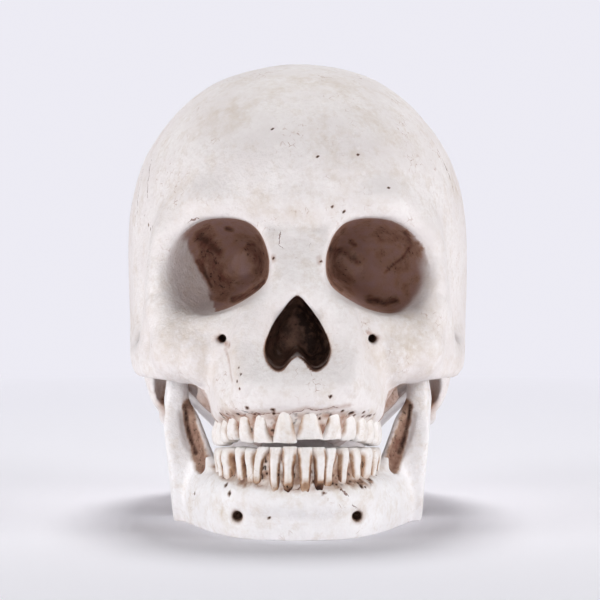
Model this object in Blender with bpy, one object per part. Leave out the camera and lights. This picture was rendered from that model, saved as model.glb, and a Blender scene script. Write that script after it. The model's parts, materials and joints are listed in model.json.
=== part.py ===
"""Decorative resin skull, life size, with a hinged lower jaw and set-in teeth.

Metres, +Z up. The origin is on the table under the middle of the skull, which looks along -Y.
It stands on the flat underside of the jaw and on a small flat under the back of the head.
"""
import math

import bmesh
import bpy
from mathutils import Matrix, Vector

# Driving dimensions of the head
HEAD_BREADTH = 0.140
HEAD_LENGTH = 0.200
HEAD_HEIGHT = 0.180
JAW_BREADTH = 0.099
FACE_REACH = 0.100

# Eye sockets and nose opening
ORBIT_SPACING = 0.061
ORBIT_WIDTH = 0.040
ORBIT_HEIGHT = 0.036
ORBIT_LEVEL = 0.1005
NOSE_WIDTH = 0.0245
NOSE_HEIGHT = 0.0278
NOSE_FLOOR_LEVEL = 0.0625

# Small holes for the nerves: radius, and how far each is bored into the face
CHEEK_HOLE_RADIUS = 0.0017
CHIN_HOLE_RADIUS = 0.0018
HOLE_DEPTH = 0.005

# Dental arches and teeth
ARCH_HALF_WIDTH = 0.0285
ARCH_DEPTH = 0.044
ARCH_SETBACK = 0.0015
BITE_LEVEL = 0.0357
BITE_DROP = 0.005
BITE_GAP = 0.0014
UPPER_TOOTH_LENGTH = 0.0175
LOWER_TOOTH_LENGTH = 0.0180
UPPER_TOOTH_WIDTH = 0.0083
LOWER_TOOTH_WIDTH = 0.0044
TOOTH_DEPTH = 0.0062
TOOTH_GAP = 0.0008
SOCKET_GAP = 0.0003

# Jaw hinge
HINGE_LEVEL = 0.0600
HINGE_SETBACK = 0.0
CONDYLE_WIDTH = 0.016
CONDYLE_RADIUS = 0.0048
CONDYLE_CLEARANCE = 0.0012
PIN_RADIUS = 0.0015
PIN_LENGTH = 0.024
PIN_CLEARANCE = 0.0004
PIN_HEAD_RADIUS = 0.0028
PIN_HEAD_LENGTH = 0.0018
JAW_OPENING = math.radians(15)
JAW_CLEARANCE = 0.0012

# Surface grain of the castings, and how far a cutter runs past what it cuts
CRANIUM_GRAIN = 0.0016
JAW_GRAIN = 0.0013
OVERRUN = 0.030

# Softening rounds, and the part of the faces that is kept
SKIN_ROUNDS = 8
HOLLOW_ROUNDS = 3
CRANIUM_DETAIL_SHARE = 0.050
JAW_DETAIL_SHARE = 0.075

# Counts of sides
VAULT_SIDES = 48
FACE_SIDES = 32
LIMB_SIDES = 12
BALL_SIDES = 20
TURNED_SIDES = 16
HOLE_SIDES = 12
TOOTH_SIDES = 8
ARCH_STEPS = 400

# Corners of the superellipse sections, and of the tooth sections
VAULT_SQUARENESS = 2.4
FACE_SQUARENESS = 2.2
TOOTH_SQUARENESS = 2.5
# Where the temples are drawn in, and over what length
TEMPLE_PLACE_SHARE = -0.36
TEMPLE_SPREAD_SHARE = 0.24
# Rise of the gum line toward the front teeth
GUM_RISE_SHARE = 0.046
# Level about which the sections of the nose opening grow
NOSE_MIDDLE_SHARE = 0.4
# How much the back of the ramus stands out from its front
RAMUS_SPLAY_SHARE = 0.424
# Part of the condyle's radius by which its middle lies inside the jaw's side
CONDYLE_INSET_SHARE = 0.2
# How far the dental arch runs, in quarter turns
ARCH_RUN_SHARE = 1.1
# Level below which a limb counts as upright
UPRIGHT_SHARE = 0.3

# Horizontal sections of the brain case: level, half width, front, back, widest place, pinch
vault_shares = (
    (-0.020, 0.12, 0.32, 0.58, 0.45, 0.00),
    (0.030, 0.22, 0.26, 0.66, 0.45, 0.00),
    (0.080, 0.33, 0.18, 0.76, 0.45, 0.00),
    (0.150, 0.47, 0.06, 0.86, 0.45, 0.00),
    (0.220, 0.64, -0.12, 0.930, 0.42, 0.00),
    (0.290, 0.84, -0.28, 0.975, 0.36, 0.02),
    (0.370, 0.965, -0.48, 1.010, 0.30, 0.04),
    (0.460, 0.995, -0.62, 1.028, 0.28, 0.05),
    (0.555, 1.000, -0.685, 1.030, 0.28, 0.05),
    (0.665, 0.985, -0.715, 0.995, 0.27, 0.03),
    (0.745, 0.935, -0.700, 0.935, 0.25, 0.01),
    (0.810, 0.860, -0.655, 0.865, 0.22, 0.00),
    (0.870, 0.750, -0.575, 0.770, 0.20, 0.00),
    (0.925, 0.610, -0.450, 0.650, 0.18, 0.00),
    (0.970, 0.420, -0.280, 0.490, 0.16, 0.00),
    (0.992, 0.220, -0.100, 0.340, 0.15, 0.00),
    (1.000, 0.060, 0.060, 0.200, 0.14, 0.00),
)

# Horizontal sections of the upper jaw: level, half width, front, back, widest place, pinch
maxilla_shares = (
    (0.222, 0.400, -0.980, -0.46, -0.62, 0.00),
    (0.230, 0.450, -1.025, -0.44, -0.62, 0.00),
    (0.270, 0.480, -1.025, -0.42, -0.60, 0.00),
    (0.305, 0.490, -0.980, -0.42, -0.58, 0.00),
    (0.340, 0.510, -0.920, -0.40, -0.56, 0.00),
    (0.390, 0.560, -0.835, -0.35, -0.54, 0.00),
    (0.440, 0.560, -0.775, -0.30, -0.52, 0.00),
    (0.500, 0.330, -0.750, -0.30, -0.52, 0.00),
    (0.580, 0.220, -0.720, -0.30, -0.52, 0.00),
    (0.650, 0.200, -0.690, -0.30, -0.52, 0.00),
)

# Rounded lumps of bone: place, then radii, each as shares of half breadth, half length, height
cranium_lump_shares = (
    # forehead between and over the eye sockets
    ((0.00, -0.620, 0.680), (0.34, 0.110, 0.075)),
    ((0.30, -0.575, 0.690), (0.34, 0.120, 0.060)),
    # cheekbone
    ((0.60, -0.565, 0.385), (0.215, 0.125, 0.080)),
    ((0.46, -0.620, 0.375), (0.220, 0.120, 0.075)),
    # outer wall of the eye socket
    ((0.60, -0.400, 0.555), (0.150, 0.190, 0.110)),
    ((0.45, -0.300, 0.470), (0.260, 0.300, 0.120)),
    # root of the cheek arch and roof of the jaw joint
    ((0.86, 0.080, 0.390), (0.110, 0.260, 0.060)),
    ((0.68, -0.030, 0.400), (0.220, 0.160, 0.048)),
    ((0.44, 0.000, 0.345), (0.130, 0.090, 0.060)),
    # middle of the skull base
    ((0.00, -0.200, 0.340), (0.300, 0.320, 0.100)),
    ((0.19, 0.110, 0.180), (0.090, 0.120, 0.040)),
    # bump at the back of the head
    ((0.00, 0.925, 0.300), (0.090, 0.060, 0.030)),
)

# Bars of bone: places, then the two half thicknesses as shares of half breadth
cranium_bar_shares = (
    # brow
    (((0.00, -0.635, 0.672), 0.090, 0.090), ((0.28, -0.632, 0.680), 0.080, 0.070),
     ((0.52, -0.585, 0.668), 0.080, 0.070), ((0.70, -0.490, 0.625), 0.090, 0.080)),
    # outer rim of the eye socket
    (((0.69, -0.505, 0.640), 0.090, 0.100), ((0.765, -0.500, 0.550), 0.070, 0.095),
     ((0.745, -0.540, 0.460), 0.090, 0.110), ((0.64, -0.590, 0.400), 0.100, 0.110)),
    # side of the face behind the outer rim
    (((0.60, -0.470, 0.690), 0.140, 0.110), ((0.700, -0.420, 0.610), 0.130, 0.130),
     ((0.735, -0.400, 0.510), 0.120, 0.140), ((0.770, -0.400, 0.430), 0.110, 0.150),
     ((0.800, -0.420, 0.360), 0.080, 0.110)),
    # lower rim of the eye socket
    (((0.66, -0.585, 0.420), 0.085, 0.095), ((0.45, -0.670, 0.425), 0.085, 0.090),
     ((0.26, -0.730, 0.450), 0.075, 0.080), ((0.155, -0.735, 0.545), 0.065, 0.080),
     ((0.145, -0.680, 0.640), 0.045, 0.050)),
    # cheek arch
    (((0.66, -0.570, 0.360), 0.080, 0.130), ((0.82, -0.440, 0.355), 0.055, 0.125),
     ((0.900, -0.220, 0.355), 0.048, 0.125), ((0.918, -0.030, 0.375), 0.055, 0.135),
     ((0.900, 0.120, 0.400), 0.085, 0.135)),
    # bridge of the nose
    (((0.00, -0.650, 0.665), 0.150, 0.085), ((0.00, -0.700, 0.600), 0.155, 0.085),
     ((0.00, -0.770, 0.545), 0.150, 0.078), ((0.00, -0.825, 0.505), 0.135, 0.060),
     ((0.00, -0.845, 0.460), 0.110, 0.045)),
    # side of the nose opening
    (((0.11, -0.685, 0.620), 0.080, 0.090), ((0.15, -0.750, 0.540), 0.100, 0.090),
     ((0.225, -0.805, 0.460), 0.100, 0.090), ((0.265, -0.850, 0.380), 0.095, 0.090),
     ((0.240, -0.950, 0.300), 0.085, 0.085)),
    # nasal spine
    (((0.00, -0.820, 0.350), 0.070, 0.070), ((0.00, -0.905, 0.368), 0.035, 0.040)),
    # mastoid process
    (((0.80, 0.130, 0.360), 0.130, 0.150), ((0.765, 0.125, 0.270), 0.120, 0.140),
     ((0.735, 0.110, 0.215), 0.085, 0.100), ((0.700, 0.100, 0.180), 0.040, 0.050)),
    # pterygoid plate
    (((0.23, -0.370, 0.340), 0.060, 0.130), ((0.24, -0.390, 0.260), 0.045, 0.110),
     ((0.25, -0.370, 0.205), 0.040, 0.080)),
    # ridge from cheek to molars
    (((0.600, -0.575, 0.365), 0.100, 0.080), ((0.490, -0.600, 0.325), 0.070, 0.080),
     ((0.435, -0.620, 0.280), 0.055, 0.080), ((0.425, -0.620, 0.235), 0.050, 0.080)),
)

# Eye socket, from outside to its apex: distance back, offset to the middle, size
orbit_shares = (
    (-0.900, 0.020, 1.080), (-0.680, 0.000, 1.030), (-0.560, 0.000, 1.000),
    (-0.440, -0.070, 0.860), (-0.330, -0.170, 0.600), (-0.240, -0.280, 0.280),
)

# Outline of the eye socket from the top toward the nose: place across and up
orbit_outline_shares = (
    (-0.21, 0.99), (-0.57, 0.91), (-0.78, 0.72), (-0.91, 0.43), (-0.98, 0.06),
    (-0.91, -0.36), (-0.55, -0.70), (-0.10, -0.94), (0.34, -1.00), (0.72, -0.78),
    (0.93, -0.42), (0.99, -0.02), (0.87, 0.38), (0.61, 0.71), (0.25, 0.94),
)

# Half outline of the nose opening from its top round to the middle of its floor
nose_outline_shares = (
    (0.00, 1.00), (0.24, 0.88), (0.43, 0.76), (0.74, 0.57), (0.96, 0.37), (1.00, 0.24),
    (0.88, 0.10), (0.62, 0.01), (0.40, 0.03), (0.18, 0.14), (0.00, 0.19),
)
nose_depth_shares = ((-1.05, 1.00), (-0.86, 1.00), (-0.74, 1.10), (-0.60, 1.00), (-0.50, 0.60))

# Hollows in the bone: place and radii
cranium_hollow_shares = (
    ((0.00, 0.140, 0.140), (0.210, 0.150, 0.095)),
    ((0.00, -0.640, 0.215), (0.290, 0.270, 0.060)),
    ((0.80, -0.170, 0.455), (0.130, 0.200, 0.090)),
    ((0.99, -0.200, 0.520), (0.120, 0.220, 0.110)),
    ((0.70, -0.280, 0.320), (0.170, 0.190, 0.110)),
    ((0.775, 0.030, 0.275), (0.055, 0.100, 0.045)),
)

# Lower jaw
jaw_body_shares = (
    ((-0.085, -0.930, 0.135), 0.127, 0.247), ((0.283, -0.895, 0.135), 0.127, 0.247),
    ((0.467, -0.800, 0.135), 0.124, 0.247), ((0.594, -0.680, 0.135), 0.120, 0.247),
    ((0.700, -0.550, 0.141), 0.116, 0.255), ((0.806, -0.400, 0.150), 0.113, 0.269),
    ((0.898, -0.270, 0.165), 0.099, 0.283),
)
jaw_ridge_shares = (
    ((-0.085, -0.958, 0.246), 0.124, 0.148), ((0.269, -0.922, 0.246), 0.124, 0.148),
    ((0.453, -0.826, 0.246), 0.124, 0.148), ((0.552, -0.700, 0.252), 0.124, 0.141),
    ((0.615, -0.560, 0.264), 0.120, 0.134), ((0.707, -0.420, 0.315), 0.113, 0.113),
)
# Inner edge of the hollow between the last molar and the ramus, and that hollow
jaw_inner_shares = (
    ((0.629, -0.560, 0.315), 0.085, 0.099), ((0.679, -0.510, 0.375), 0.071, 0.085),
    ((0.757, -0.440, 0.495), 0.071, 0.085), ((0.813, -0.375, 0.645), 0.064, 0.085),
    ((0.834, -0.330, 0.840), 0.042, 0.071),
)
jaw_trough_shares = (
    ((0.905, -0.380, 0.825), 0.034, 0.042), ((0.874, -0.405, 0.675), 0.045, 0.064),
    ((0.834, -0.445, 0.540), 0.051, 0.064), ((0.778, -0.495, 0.405), 0.048, 0.057),
    ((0.735, -0.535, 0.345), 0.025, 0.035),
)
# Side view of the ramus: distance back and level
ramus_shares = (
    (-0.230, -0.060), (-0.165, 0.180), (-0.105, 0.480), (-0.058, 0.750), (-0.035, 0.990),
    (-0.075, 0.990), (-0.120, 0.855), (-0.190, 0.786), (-0.255, 0.885), (-0.305, 1.125),
    (-0.345, 1.080), (-0.370, 0.870), (-0.400, 0.630), (-0.455, 0.390), (-0.440, 0.150),
    (-0.360, -0.060),
)
# Place of the ramus across the head at rising levels, and its half thickness
ramus_place_shares = (
    (-0.060, 0.905, 0.088),
    (0.180, 0.926, 0.085),
    (0.450, 0.933, 0.079),
    (0.810, 0.926, 0.065),
    (1.140, 0.884, 0.051),
)
sweep_shares = (-0.1, 0.25, 0.6, 1.0)

# Tooth widths from the middle out
upper_width_shares = (1.00, 0.92, 0.92, 0.80, 0.78, 1.15, 1.08)
lower_width_shares = (1.00, 1.00, 1.02, 1.05, 1.25, 1.95, 1.95, 1.90)
UPPER_KINDS = ("incisor", "incisor", "canine", "premolar", "premolar", "molar", "molar")
LOWER_KINDS = ("incisor", "incisor", "canine", "premolar", "premolar", "molar", "molar", "molar")

# Places of the nerve holes: across, forward of the axis of the head, level
cheek_hole_shares = (0.400, -0.700, 0.408)
chin_hole_shares = (0.445, -0.930, 0.138)

# Rings of a tooth from root end to biting edge: length, width, depth
tooth_ring_shares = {
    "incisor": ((0.00, 0.46, 0.52), (0.30, 0.60, 0.80), (0.48, 0.70, 0.92),
                (0.72, 0.86, 0.90), (0.93, 1.03, 0.52), (1.00, 1.00, 0.34)),
    "canine": ((0.00, 0.46, 0.54), (0.30, 0.62, 0.84), (0.48, 0.74, 0.98),
               (0.72, 0.92, 1.00), (0.92, 0.98, 0.62), (1.00, 0.76, 0.36)),
    "premolar": ((0.00, 0.46, 0.60), (0.30, 0.66, 0.84), (0.48, 0.82, 1.04),
                 (0.72, 1.00, 1.22), (0.92, 0.96, 1.06), (1.00, 0.74, 0.80)),
    "molar": ((0.00, 0.56, 0.66), (0.30, 0.74, 0.92), (0.48, 0.88, 1.14),
              (0.72, 1.00, 1.34), (0.93, 0.98, 1.22), (1.00, 0.80, 0.98)),
}
# Lower teeth keep their width far down their bare roots
picket_ring_shares = {
    "incisor": ((0.00, 0.50, 0.60), (0.26, 0.72, 0.86), (0.55, 0.90, 0.92),
                (0.78, 1.04, 0.84), (0.95, 1.08, 0.50), (1.00, 0.94, 0.32)),
    "canine": ((0.00, 0.50, 0.60), (0.26, 0.74, 0.90), (0.55, 0.90, 0.98),
               (0.78, 1.04, 0.98), (0.95, 1.00, 0.60), (1.00, 0.76, 0.36)),
    "premolar": ((0.00, 0.52, 0.66), (0.26, 0.76, 0.90), (0.55, 0.90, 1.02),
                 (0.78, 1.04, 1.16), (0.94, 1.00, 1.02), (1.00, 0.78, 0.80)),
    "molar": ((0.00, 0.60, 0.70), (0.26, 0.80, 0.96), (0.50, 0.92, 1.12),
              (0.76, 1.02, 1.30), (0.94, 0.98, 1.20), (1.00, 0.78, 0.98)),
}

SIDES = (("left", -1), ("right", 1))
SKULL = Vector((HEAD_BREADTH / 2, HEAD_LENGTH / 2, HEAD_HEIGHT))
UPPER_JAW = Vector((HEAD_BREADTH / 2, FACE_REACH, HEAD_HEIGHT))
LOWER_JAW = Vector((JAW_BREADTH / 2, FACE_REACH, HINGE_LEVEL))
ARCH_FRONT = FACE_REACH - ARCH_SETBACK
CONDYLE_PLACE = JAW_BREADTH / 2 - CONDYLE_RADIUS * CONDYLE_INSET_SHARE
JAW_PIVOT = Vector((0, HINGE_SETBACK, HINGE_LEVEL))


def at(place, size=SKULL):
    """A point given in shares of a size: half the breadth, the length forward or back, the height."""
    return Vector([share * length for share, length in zip(place, size)])


def smooth_between(rows, steps):
    """Rows of numbers with steps - 1 rows added between each pair on a smooth curve."""
    result = []
    last = len(rows) - 1
    for i in range(last):
        before, start, end, after = (rows[max(0, i - 1)], rows[i], rows[i + 1],
                                     rows[min(last, i + 2)])
        for k in range(steps):
            t = k / steps
            result.append(tuple(
                0.5 * (2 * b + (c - a) * t + (2 * a - 5 * b + 4 * c - d) * t * t
                       + (3 * b - a - 3 * c + d) * t ** 3)
                for a, b, c, d in zip(before, start, end, after)))
    result.append(tuple(rows[last]))
    return result


def closed_curve(rows, steps):
    """A smooth closed outline through the rows."""
    rounded = smooth_between((rows[-1], *rows, rows[0], rows[1]), steps)
    return rounded[steps:-steps - 1]


def loft(bm, rings):
    """A closed skin over rings of equal count, capped at both ends."""
    loops = [[bm.verts.new(point) for point in ring] for ring in rings]
    faces = []
    for low, high in zip(loops, loops[1:]):
        for i in range(len(low)):
            j = (i + 1) % len(low)
            faces.append(bm.faces.new((low[i], low[j], high[j], high[i])))
    faces.append(bm.faces.new(loops[0][::-1]))
    faces.append(bm.faces.new(loops[-1]))
    bmesh.ops.recalc_face_normals(bm, faces=faces)


def angles(sides, start=0.0):
    return [2 * math.pi * (i + start) / sides for i in range(sides)]


def power(value, exponent):
    """Signed power, for rounded squares."""
    return math.copysign(abs(value) ** exponent, value)


def stack(bm, table, size, sides, squareness, rise=0.0):
    """Egg-shaped horizontal sections, one above the other, drawn in at the temples."""
    rings = []
    for level, width, front, back, widest, pinch in smooth_between(table, 3):
        ring = []
        for angle in angles(sides):
            across = power(math.cos(angle), 2 / squareness)
            along = power(math.sin(angle), 2 / squareness)
            reach = (back - widest) if along > 0 else (widest - front)
            y = widest + along * reach
            waist = 1 - pinch * math.exp(-((y - TEMPLE_PLACE_SHARE) / TEMPLE_SPREAD_SHARE) ** 2)
            lift = rise * (widest - y) / (widest - front) if y < widest else 0.0
            ring.append(at((across * width * waist, y, level + lift), size))
        rings.append(ring)
    loft(bm, rings)


def ball(bm, middle, radii):
    """An ellipsoid."""
    bmesh.ops.create_uvsphere(bm, u_segments=BALL_SIDES, v_segments=LIMB_SIDES, radius=1,
                              matrix=Matrix.LocRotScale(middle, None, radii))


def bar(bm, stations, size=SKULL):
    """A limb of oval section along a smooth path."""
    rows = smooth_between([(*place, thin, tall) for place, thin, tall in stations], 4)
    points = [at(row[:3], size) for row in rows]
    rings = []
    for i, (point, row) in enumerate(zip(points, rows)):
        ahead = (points[min(i + 1, len(points) - 1)] - points[max(i - 1, 0)]).normalized()
        out = ahead.cross(Vector((0, 0, 1)))
        if out.length < UPRIGHT_SHARE:
            out = Vector((1, 0, 0))
        out.normalize()
        up = out.cross(ahead).normalized()
        thin, tall = row[3] * size.x, row[4] * size.x
        rings.append([point + out * (math.cos(a) * thin) + up * (math.sin(a) * tall)
                      for a in angles(LIMB_SIDES)])
    loft(bm, rings)


def material(name, colour, roughness, metallic=0.0):
    made = bpy.data.materials.new(name)
    made.use_nodes = True
    shader = made.node_tree.nodes["Principled BSDF"]
    shader.inputs["Base Color"].default_value = (*colour, 1.0)
    shader.inputs["Roughness"].default_value = roughness
    shader.inputs["Metallic"].default_value = metallic
    return made


def add_object(name, bm, look=None, origin=Vector()):
    """An object whose origin lies at the given point of the mesh."""
    bmesh.ops.translate(bm, vec=-origin, verts=bm.verts)
    mesh = bpy.data.meshes.new(name)
    bm.to_mesh(mesh)
    bm.free()
    mesh.shade_smooth()
    made = bpy.data.objects.new(name, mesh)
    made.location = origin
    bpy.context.collection.objects.link(made)
    if look:
        mesh.materials.append(look)
    return made


def add_cutter(name, bm):
    made = add_object(name, bm)
    made.hide_render = True
    made.display_type = "WIRE"
    return made


def mirror(target):
    step = target.modifiers.new("both_sides", "MIRROR")
    step.use_mirror_merge = False


def fuse(target, grain, rounds):
    """Melt overlapping lumps into one skin and soften it."""
    step = target.modifiers.new("fuse", "REMESH")
    step.mode = "VOXEL"
    step.voxel_size = grain
    soften = target.modifiers.new("soften", "SMOOTH")
    soften.iterations = rounds


def combine(target, other, operation="DIFFERENCE"):
    step = target.modifiers.new(other.name, "BOOLEAN")
    step.operation = operation
    step.solver = "EXACT"
    step.object = other


def thin_out(target, share):
    step = target.modifiers.new("thin_out", "DECIMATE")
    step.ratio = share


def make_cranium():
    bm = bmesh.new()
    stack(bm, vault_shares, SKULL, VAULT_SIDES, VAULT_SQUARENESS)
    stack(bm, maxilla_shares, UPPER_JAW, FACE_SIDES, FACE_SQUARENESS, GUM_RISE_SHARE)
    for place, radii in cranium_lump_shares:
        ball(bm, at(place), at(radii))
    for stations in cranium_bar_shares:
        bar(bm, stations)
    made = add_object("cranium", bm, bone_look)
    mirror(made)
    fuse(made, CRANIUM_GRAIN, SKIN_ROUNDS)
    combine(made, make_face_hollows())
    combine(made, make_jaw_sweep())
    fuse(made, CRANIUM_GRAIN, HOLLOW_ROUNDS)
    thin_out(made, CRANIUM_DETAIL_SHARE)
    return made


def orbit_ring(back, inward, size):
    middle = ORBIT_SPACING / 2 + inward * SKULL.x / 2
    return [Vector((middle + x * ORBIT_WIDTH / 2 * size, back * SKULL.y,
                    ORBIT_LEVEL + z * ORBIT_HEIGHT / 2 * size))
            for x, z in closed_curve(orbit_outline_shares, 2)]


def make_face_hollows():
    bm = bmesh.new()
    loft(bm, [orbit_ring(*row) for row in smooth_between(orbit_shares, 3)])
    half = [(x * NOSE_WIDTH / 2, z * NOSE_HEIGHT) for x, z in nose_outline_shares]
    outline = half + [(-x, z) for x, z in half[-2:0:-1]]
    middle = NOSE_HEIGHT * NOSE_MIDDLE_SHARE
    loft(bm, [[Vector((x * size, back * SKULL.y,
                       NOSE_FLOOR_LEVEL + middle + (z - middle) * size)) for x, z in outline]
              for back, size in nose_depth_shares])
    for place, radii in cranium_hollow_shares:
        ball(bm, at(place), at(radii))
    made = add_cutter("face_hollows", bm)
    mirror(made)
    fuse(made, CRANIUM_GRAIN, HOLLOW_ROUNDS)
    return made


def ramus_place(level):
    """Place across the jaw and half thickness of the ramus at a level."""
    rows = ramus_place_shares
    for low, high in zip(rows, rows[1:]):
        if level <= high[0]:
            break
    t = min(1.0, max(0.0, (level - low[0]) / (high[0] - low[0])))
    return low[1] + (high[1] - low[1]) * t, low[2] + (high[2] - low[2]) * t


def ramus(bm, turn=0.0):
    """The rising plate and the joint head of one side, turned about the hinge."""
    pose = (Matrix.Translation(JAW_PIVOT) @ Matrix.Rotation(turn, 4, "X")
            @ Matrix.Translation(-JAW_PIVOT))
    rings = []
    for side in (-1, 1):
        ring = []
        for back, level in ramus_shares:
            place, half = ramus_place(level)
            place += RAMUS_SPLAY_SHARE * (back - ramus_shares[0][0])
            ring.append(pose @ at((place + side * half, back, level), LOWER_JAW))
        rings.append(ring)
    loft(bm, rings)
    middle = JAW_PIVOT + Vector((CONDYLE_PLACE, 0, 0))
    ball(bm, middle, Vector((CONDYLE_WIDTH / 2, CONDYLE_RADIUS, CONDYLE_RADIUS)))


def make_jaw_sweep():
    """The room that the rami need in the skull base over the whole opening."""
    bm = bmesh.new()
    for turn_share in sweep_shares:
        ramus(bm, turn_share * JAW_OPENING)
    made = add_cutter("jaw_sweep", bm)
    mirror(made)
    fuse(made, CRANIUM_GRAIN, 1)
    grow = made.modifiers.new("clearance", "DISPLACE")
    grow.strength = JAW_CLEARANCE
    grow.mid_level = 0
    return made


def make_jaw():
    bm = bmesh.new()
    for stations in (jaw_body_shares, jaw_ridge_shares, jaw_inner_shares):
        bar(bm, stations, LOWER_JAW)
    ramus(bm)
    made = add_object("mandible", bm, jaw_look, JAW_PIVOT)
    mirror(made)
    fuse(made, JAW_GRAIN, SKIN_ROUNDS)
    trough = bmesh.new()
    bar(trough, jaw_trough_shares, LOWER_JAW)
    cutter = add_cutter("jaw_troughs", trough)
    mirror(cutter)
    combine(made, cutter)
    fuse(made, JAW_GRAIN, HOLLOW_ROUNDS)
    thin_out(made, JAW_DETAIL_SHARE)
    return made


def make_nerve_holes(name, holder, middle, radius):
    """A blind hole on each side, bored from the front."""
    bm = bmesh.new()
    for _, side in SIDES:
        loft(bm, [[Vector((side * middle.x + math.cos(a) * radius, y, middle.z + math.sin(a) * radius))
                   for a in angles(HOLE_SIDES)]
                  for y in (middle.y - OVERRUN, middle.y + HOLE_DEPTH)])
    combine(holder, add_cutter(name, bm))


def arch_place(distance):
    """Point and turn on the dental arch at a distance along it from the middle."""
    before = Vector((0, -ARCH_FRONT, 0))
    for i in range(1, ARCH_STEPS + 1):
        angle = math.pi / 2 * ARCH_RUN_SHARE * i / ARCH_STEPS
        point = Vector((ARCH_HALF_WIDTH * math.sin(angle),
                        ARCH_DEPTH * (1 - math.cos(angle)) - ARCH_FRONT, 0))
        step = point - before
        if distance <= step.length:
            break
        distance -= step.length
        before = point
    return point, math.atan2(step.y, step.x)


def tooth_rings(rows, width, root, tip, grow):
    """Rings round an upright tooth standing at the origin, from its root end to its edge."""
    rings = []
    for along, wide, deep in rows:
        level = root + (tip - root) * along
        if along in (0, 1):
            level += math.copysign(grow, (tip - root) * (along * 2 - 1))
        ring = []
        for angle in angles(TOOTH_SIDES, 0.5):
            x = power(math.cos(angle), 2 / TOOTH_SQUARENESS) * (width * wide / 2 + grow)
            y = power(math.sin(angle), 2 / TOOTH_SQUARENESS) * (TOOTH_DEPTH * deep / 2 + grow)
            ring.append(Vector((x, y, level)))
        rings.append(ring)
    return rings


def teeth_of(row):
    """Each tooth of a row: its name, kind, width, distance along the arch, root and tip level."""
    kinds, size, widths, forms = (
        (UPPER_KINDS, UPPER_TOOTH_WIDTH, upper_width_shares, tooth_ring_shares)
        if row == "upper" else
        (LOWER_KINDS, LOWER_TOOTH_WIDTH, lower_width_shares, picket_ring_shares))
    distance = TOOTH_GAP / 2
    for number, (kind, share) in enumerate(zip(kinds, widths), 1):
        width = share * size
        place, turn = arch_place(distance + width / 2)
        drop = BITE_DROP * (place.y + ARCH_FRONT) / ARCH_DEPTH
        if row == "upper":
            tip = BITE_LEVEL + BITE_GAP / 2 - drop
            root = tip + UPPER_TOOTH_LENGTH
        else:
            tip = BITE_LEVEL - BITE_GAP / 2 - drop
            root = BITE_LEVEL - BITE_GAP / 2 - LOWER_TOOTH_LENGTH
        yield f"{number}_{kind}", forms[kind], width, place, turn, root, tip
        distance += width + TOOTH_GAP


def tooth_shape(bm, side, rows, width, place, turn, root, tip, grow=0.0):
    spot = Vector((side * place.x, place.y, 0))
    pose = Matrix.Translation(spot) @ Matrix.Rotation(side * turn, 4, "Z")
    loft(bm, [[pose @ point for point in ring]
              for ring in tooth_rings(rows, width, root, tip, grow)])


def make_teeth(row, holder, origin=Vector()):
    sockets = bmesh.new()
    for side_name, side in SIDES:
        for label, *shape in teeth_of(row):
            bm = bmesh.new()
            tooth_shape(bm, side, *shape)
            add_object(f"{row}_{side_name}_{label}", bm, tooth_look, origin)
            tooth_shape(sockets, side, *shape, grow=SOCKET_GAP)
    combine(holder, add_cutter(f"{row}_sockets", sockets))


def turned(bm, side, stations):
    """A body turned about the hinge axis: distances from the middle, and radii."""
    loft(bm, [[JAW_PIVOT + Vector((side * x, math.cos(a) * radius, math.sin(a) * radius))
               for a in angles(TURNED_SIDES)]
              for x, radius in stations])


def make_hinge(cranium, mandible):
    outer = CONDYLE_PLACE + CONDYLE_WIDTH / 2 + SOCKET_GAP
    inner = outer - PIN_LENGTH
    end = outer + PIN_HEAD_LENGTH
    pocket = CONDYLE_RADIUS + CONDYLE_CLEARANCE
    pocket_start = CONDYLE_PLACE - CONDYLE_WIDTH / 2 - CONDYLE_CLEARANCE
    pockets, seats, bores = bmesh.new(), bmesh.new(), bmesh.new()
    for side_name, side in SIDES:
        bm = bmesh.new()
        turned(bm, side, ((inner, PIN_RADIUS), (outer, PIN_RADIUS),
                          (outer, PIN_HEAD_RADIUS), (end, PIN_HEAD_RADIUS)))
        add_object(f"hinge_pin_{side_name}", bm, steel)
        turned(pockets, side, ((pocket_start, pocket), (end + CONDYLE_CLEARANCE, pocket)))
        reach = PIN_RADIUS + SOCKET_GAP
        turned(seats, side, ((inner - SOCKET_GAP, reach), (outer, reach)))
        loose = PIN_RADIUS + PIN_CLEARANCE
        turned(bores, side, ((inner, loose), (end, loose)))
    combine(cranium, add_cutter("condyle_pockets", pockets))
    combine(cranium, add_cutter("pin_seats", seats))
    combine(mandible, add_cutter("pin_bores", bores))


def make_floor_cut(*bodies):
    """Everything under the table level comes off."""
    bm = bmesh.new()
    size = Vector((HEAD_BREADTH + OVERRUN, HEAD_LENGTH + FACE_REACH, OVERRUN))
    bmesh.ops.create_cube(bm, size=1, matrix=Matrix.LocRotScale(
        Vector((0, 0, -OVERRUN / 2)), None, size))
    floor = add_cutter("floor_cut", bm)
    for body in bodies:
        combine(body, floor)


for old in list(bpy.data.objects):
    bpy.data.objects.remove(old, do_unlink=True)

bone_look = material("bone_resin", (0.78, 0.74, 0.70), 0.55)
jaw_look = material("jaw_resin", (0.79, 0.75, 0.71), 0.55)
tooth_look = material("tooth_resin", (0.83, 0.80, 0.74), 0.42)
steel = material("pin_steel", (0.55, 0.55, 0.56), 0.35, 1.0)

cranium = make_cranium()
mandible = make_jaw()
make_nerve_holes("cheek_holes", cranium, at(cheek_hole_shares, UPPER_JAW), CHEEK_HOLE_RADIUS)
make_nerve_holes("chin_holes", mandible, at(chin_hole_shares, LOWER_JAW), CHIN_HOLE_RADIUS)
make_teeth("upper", cranium)
make_teeth("lower", mandible, JAW_PIVOT)
make_hinge(cranium, mandible)
make_floor_cut(cranium, mandible)
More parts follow.
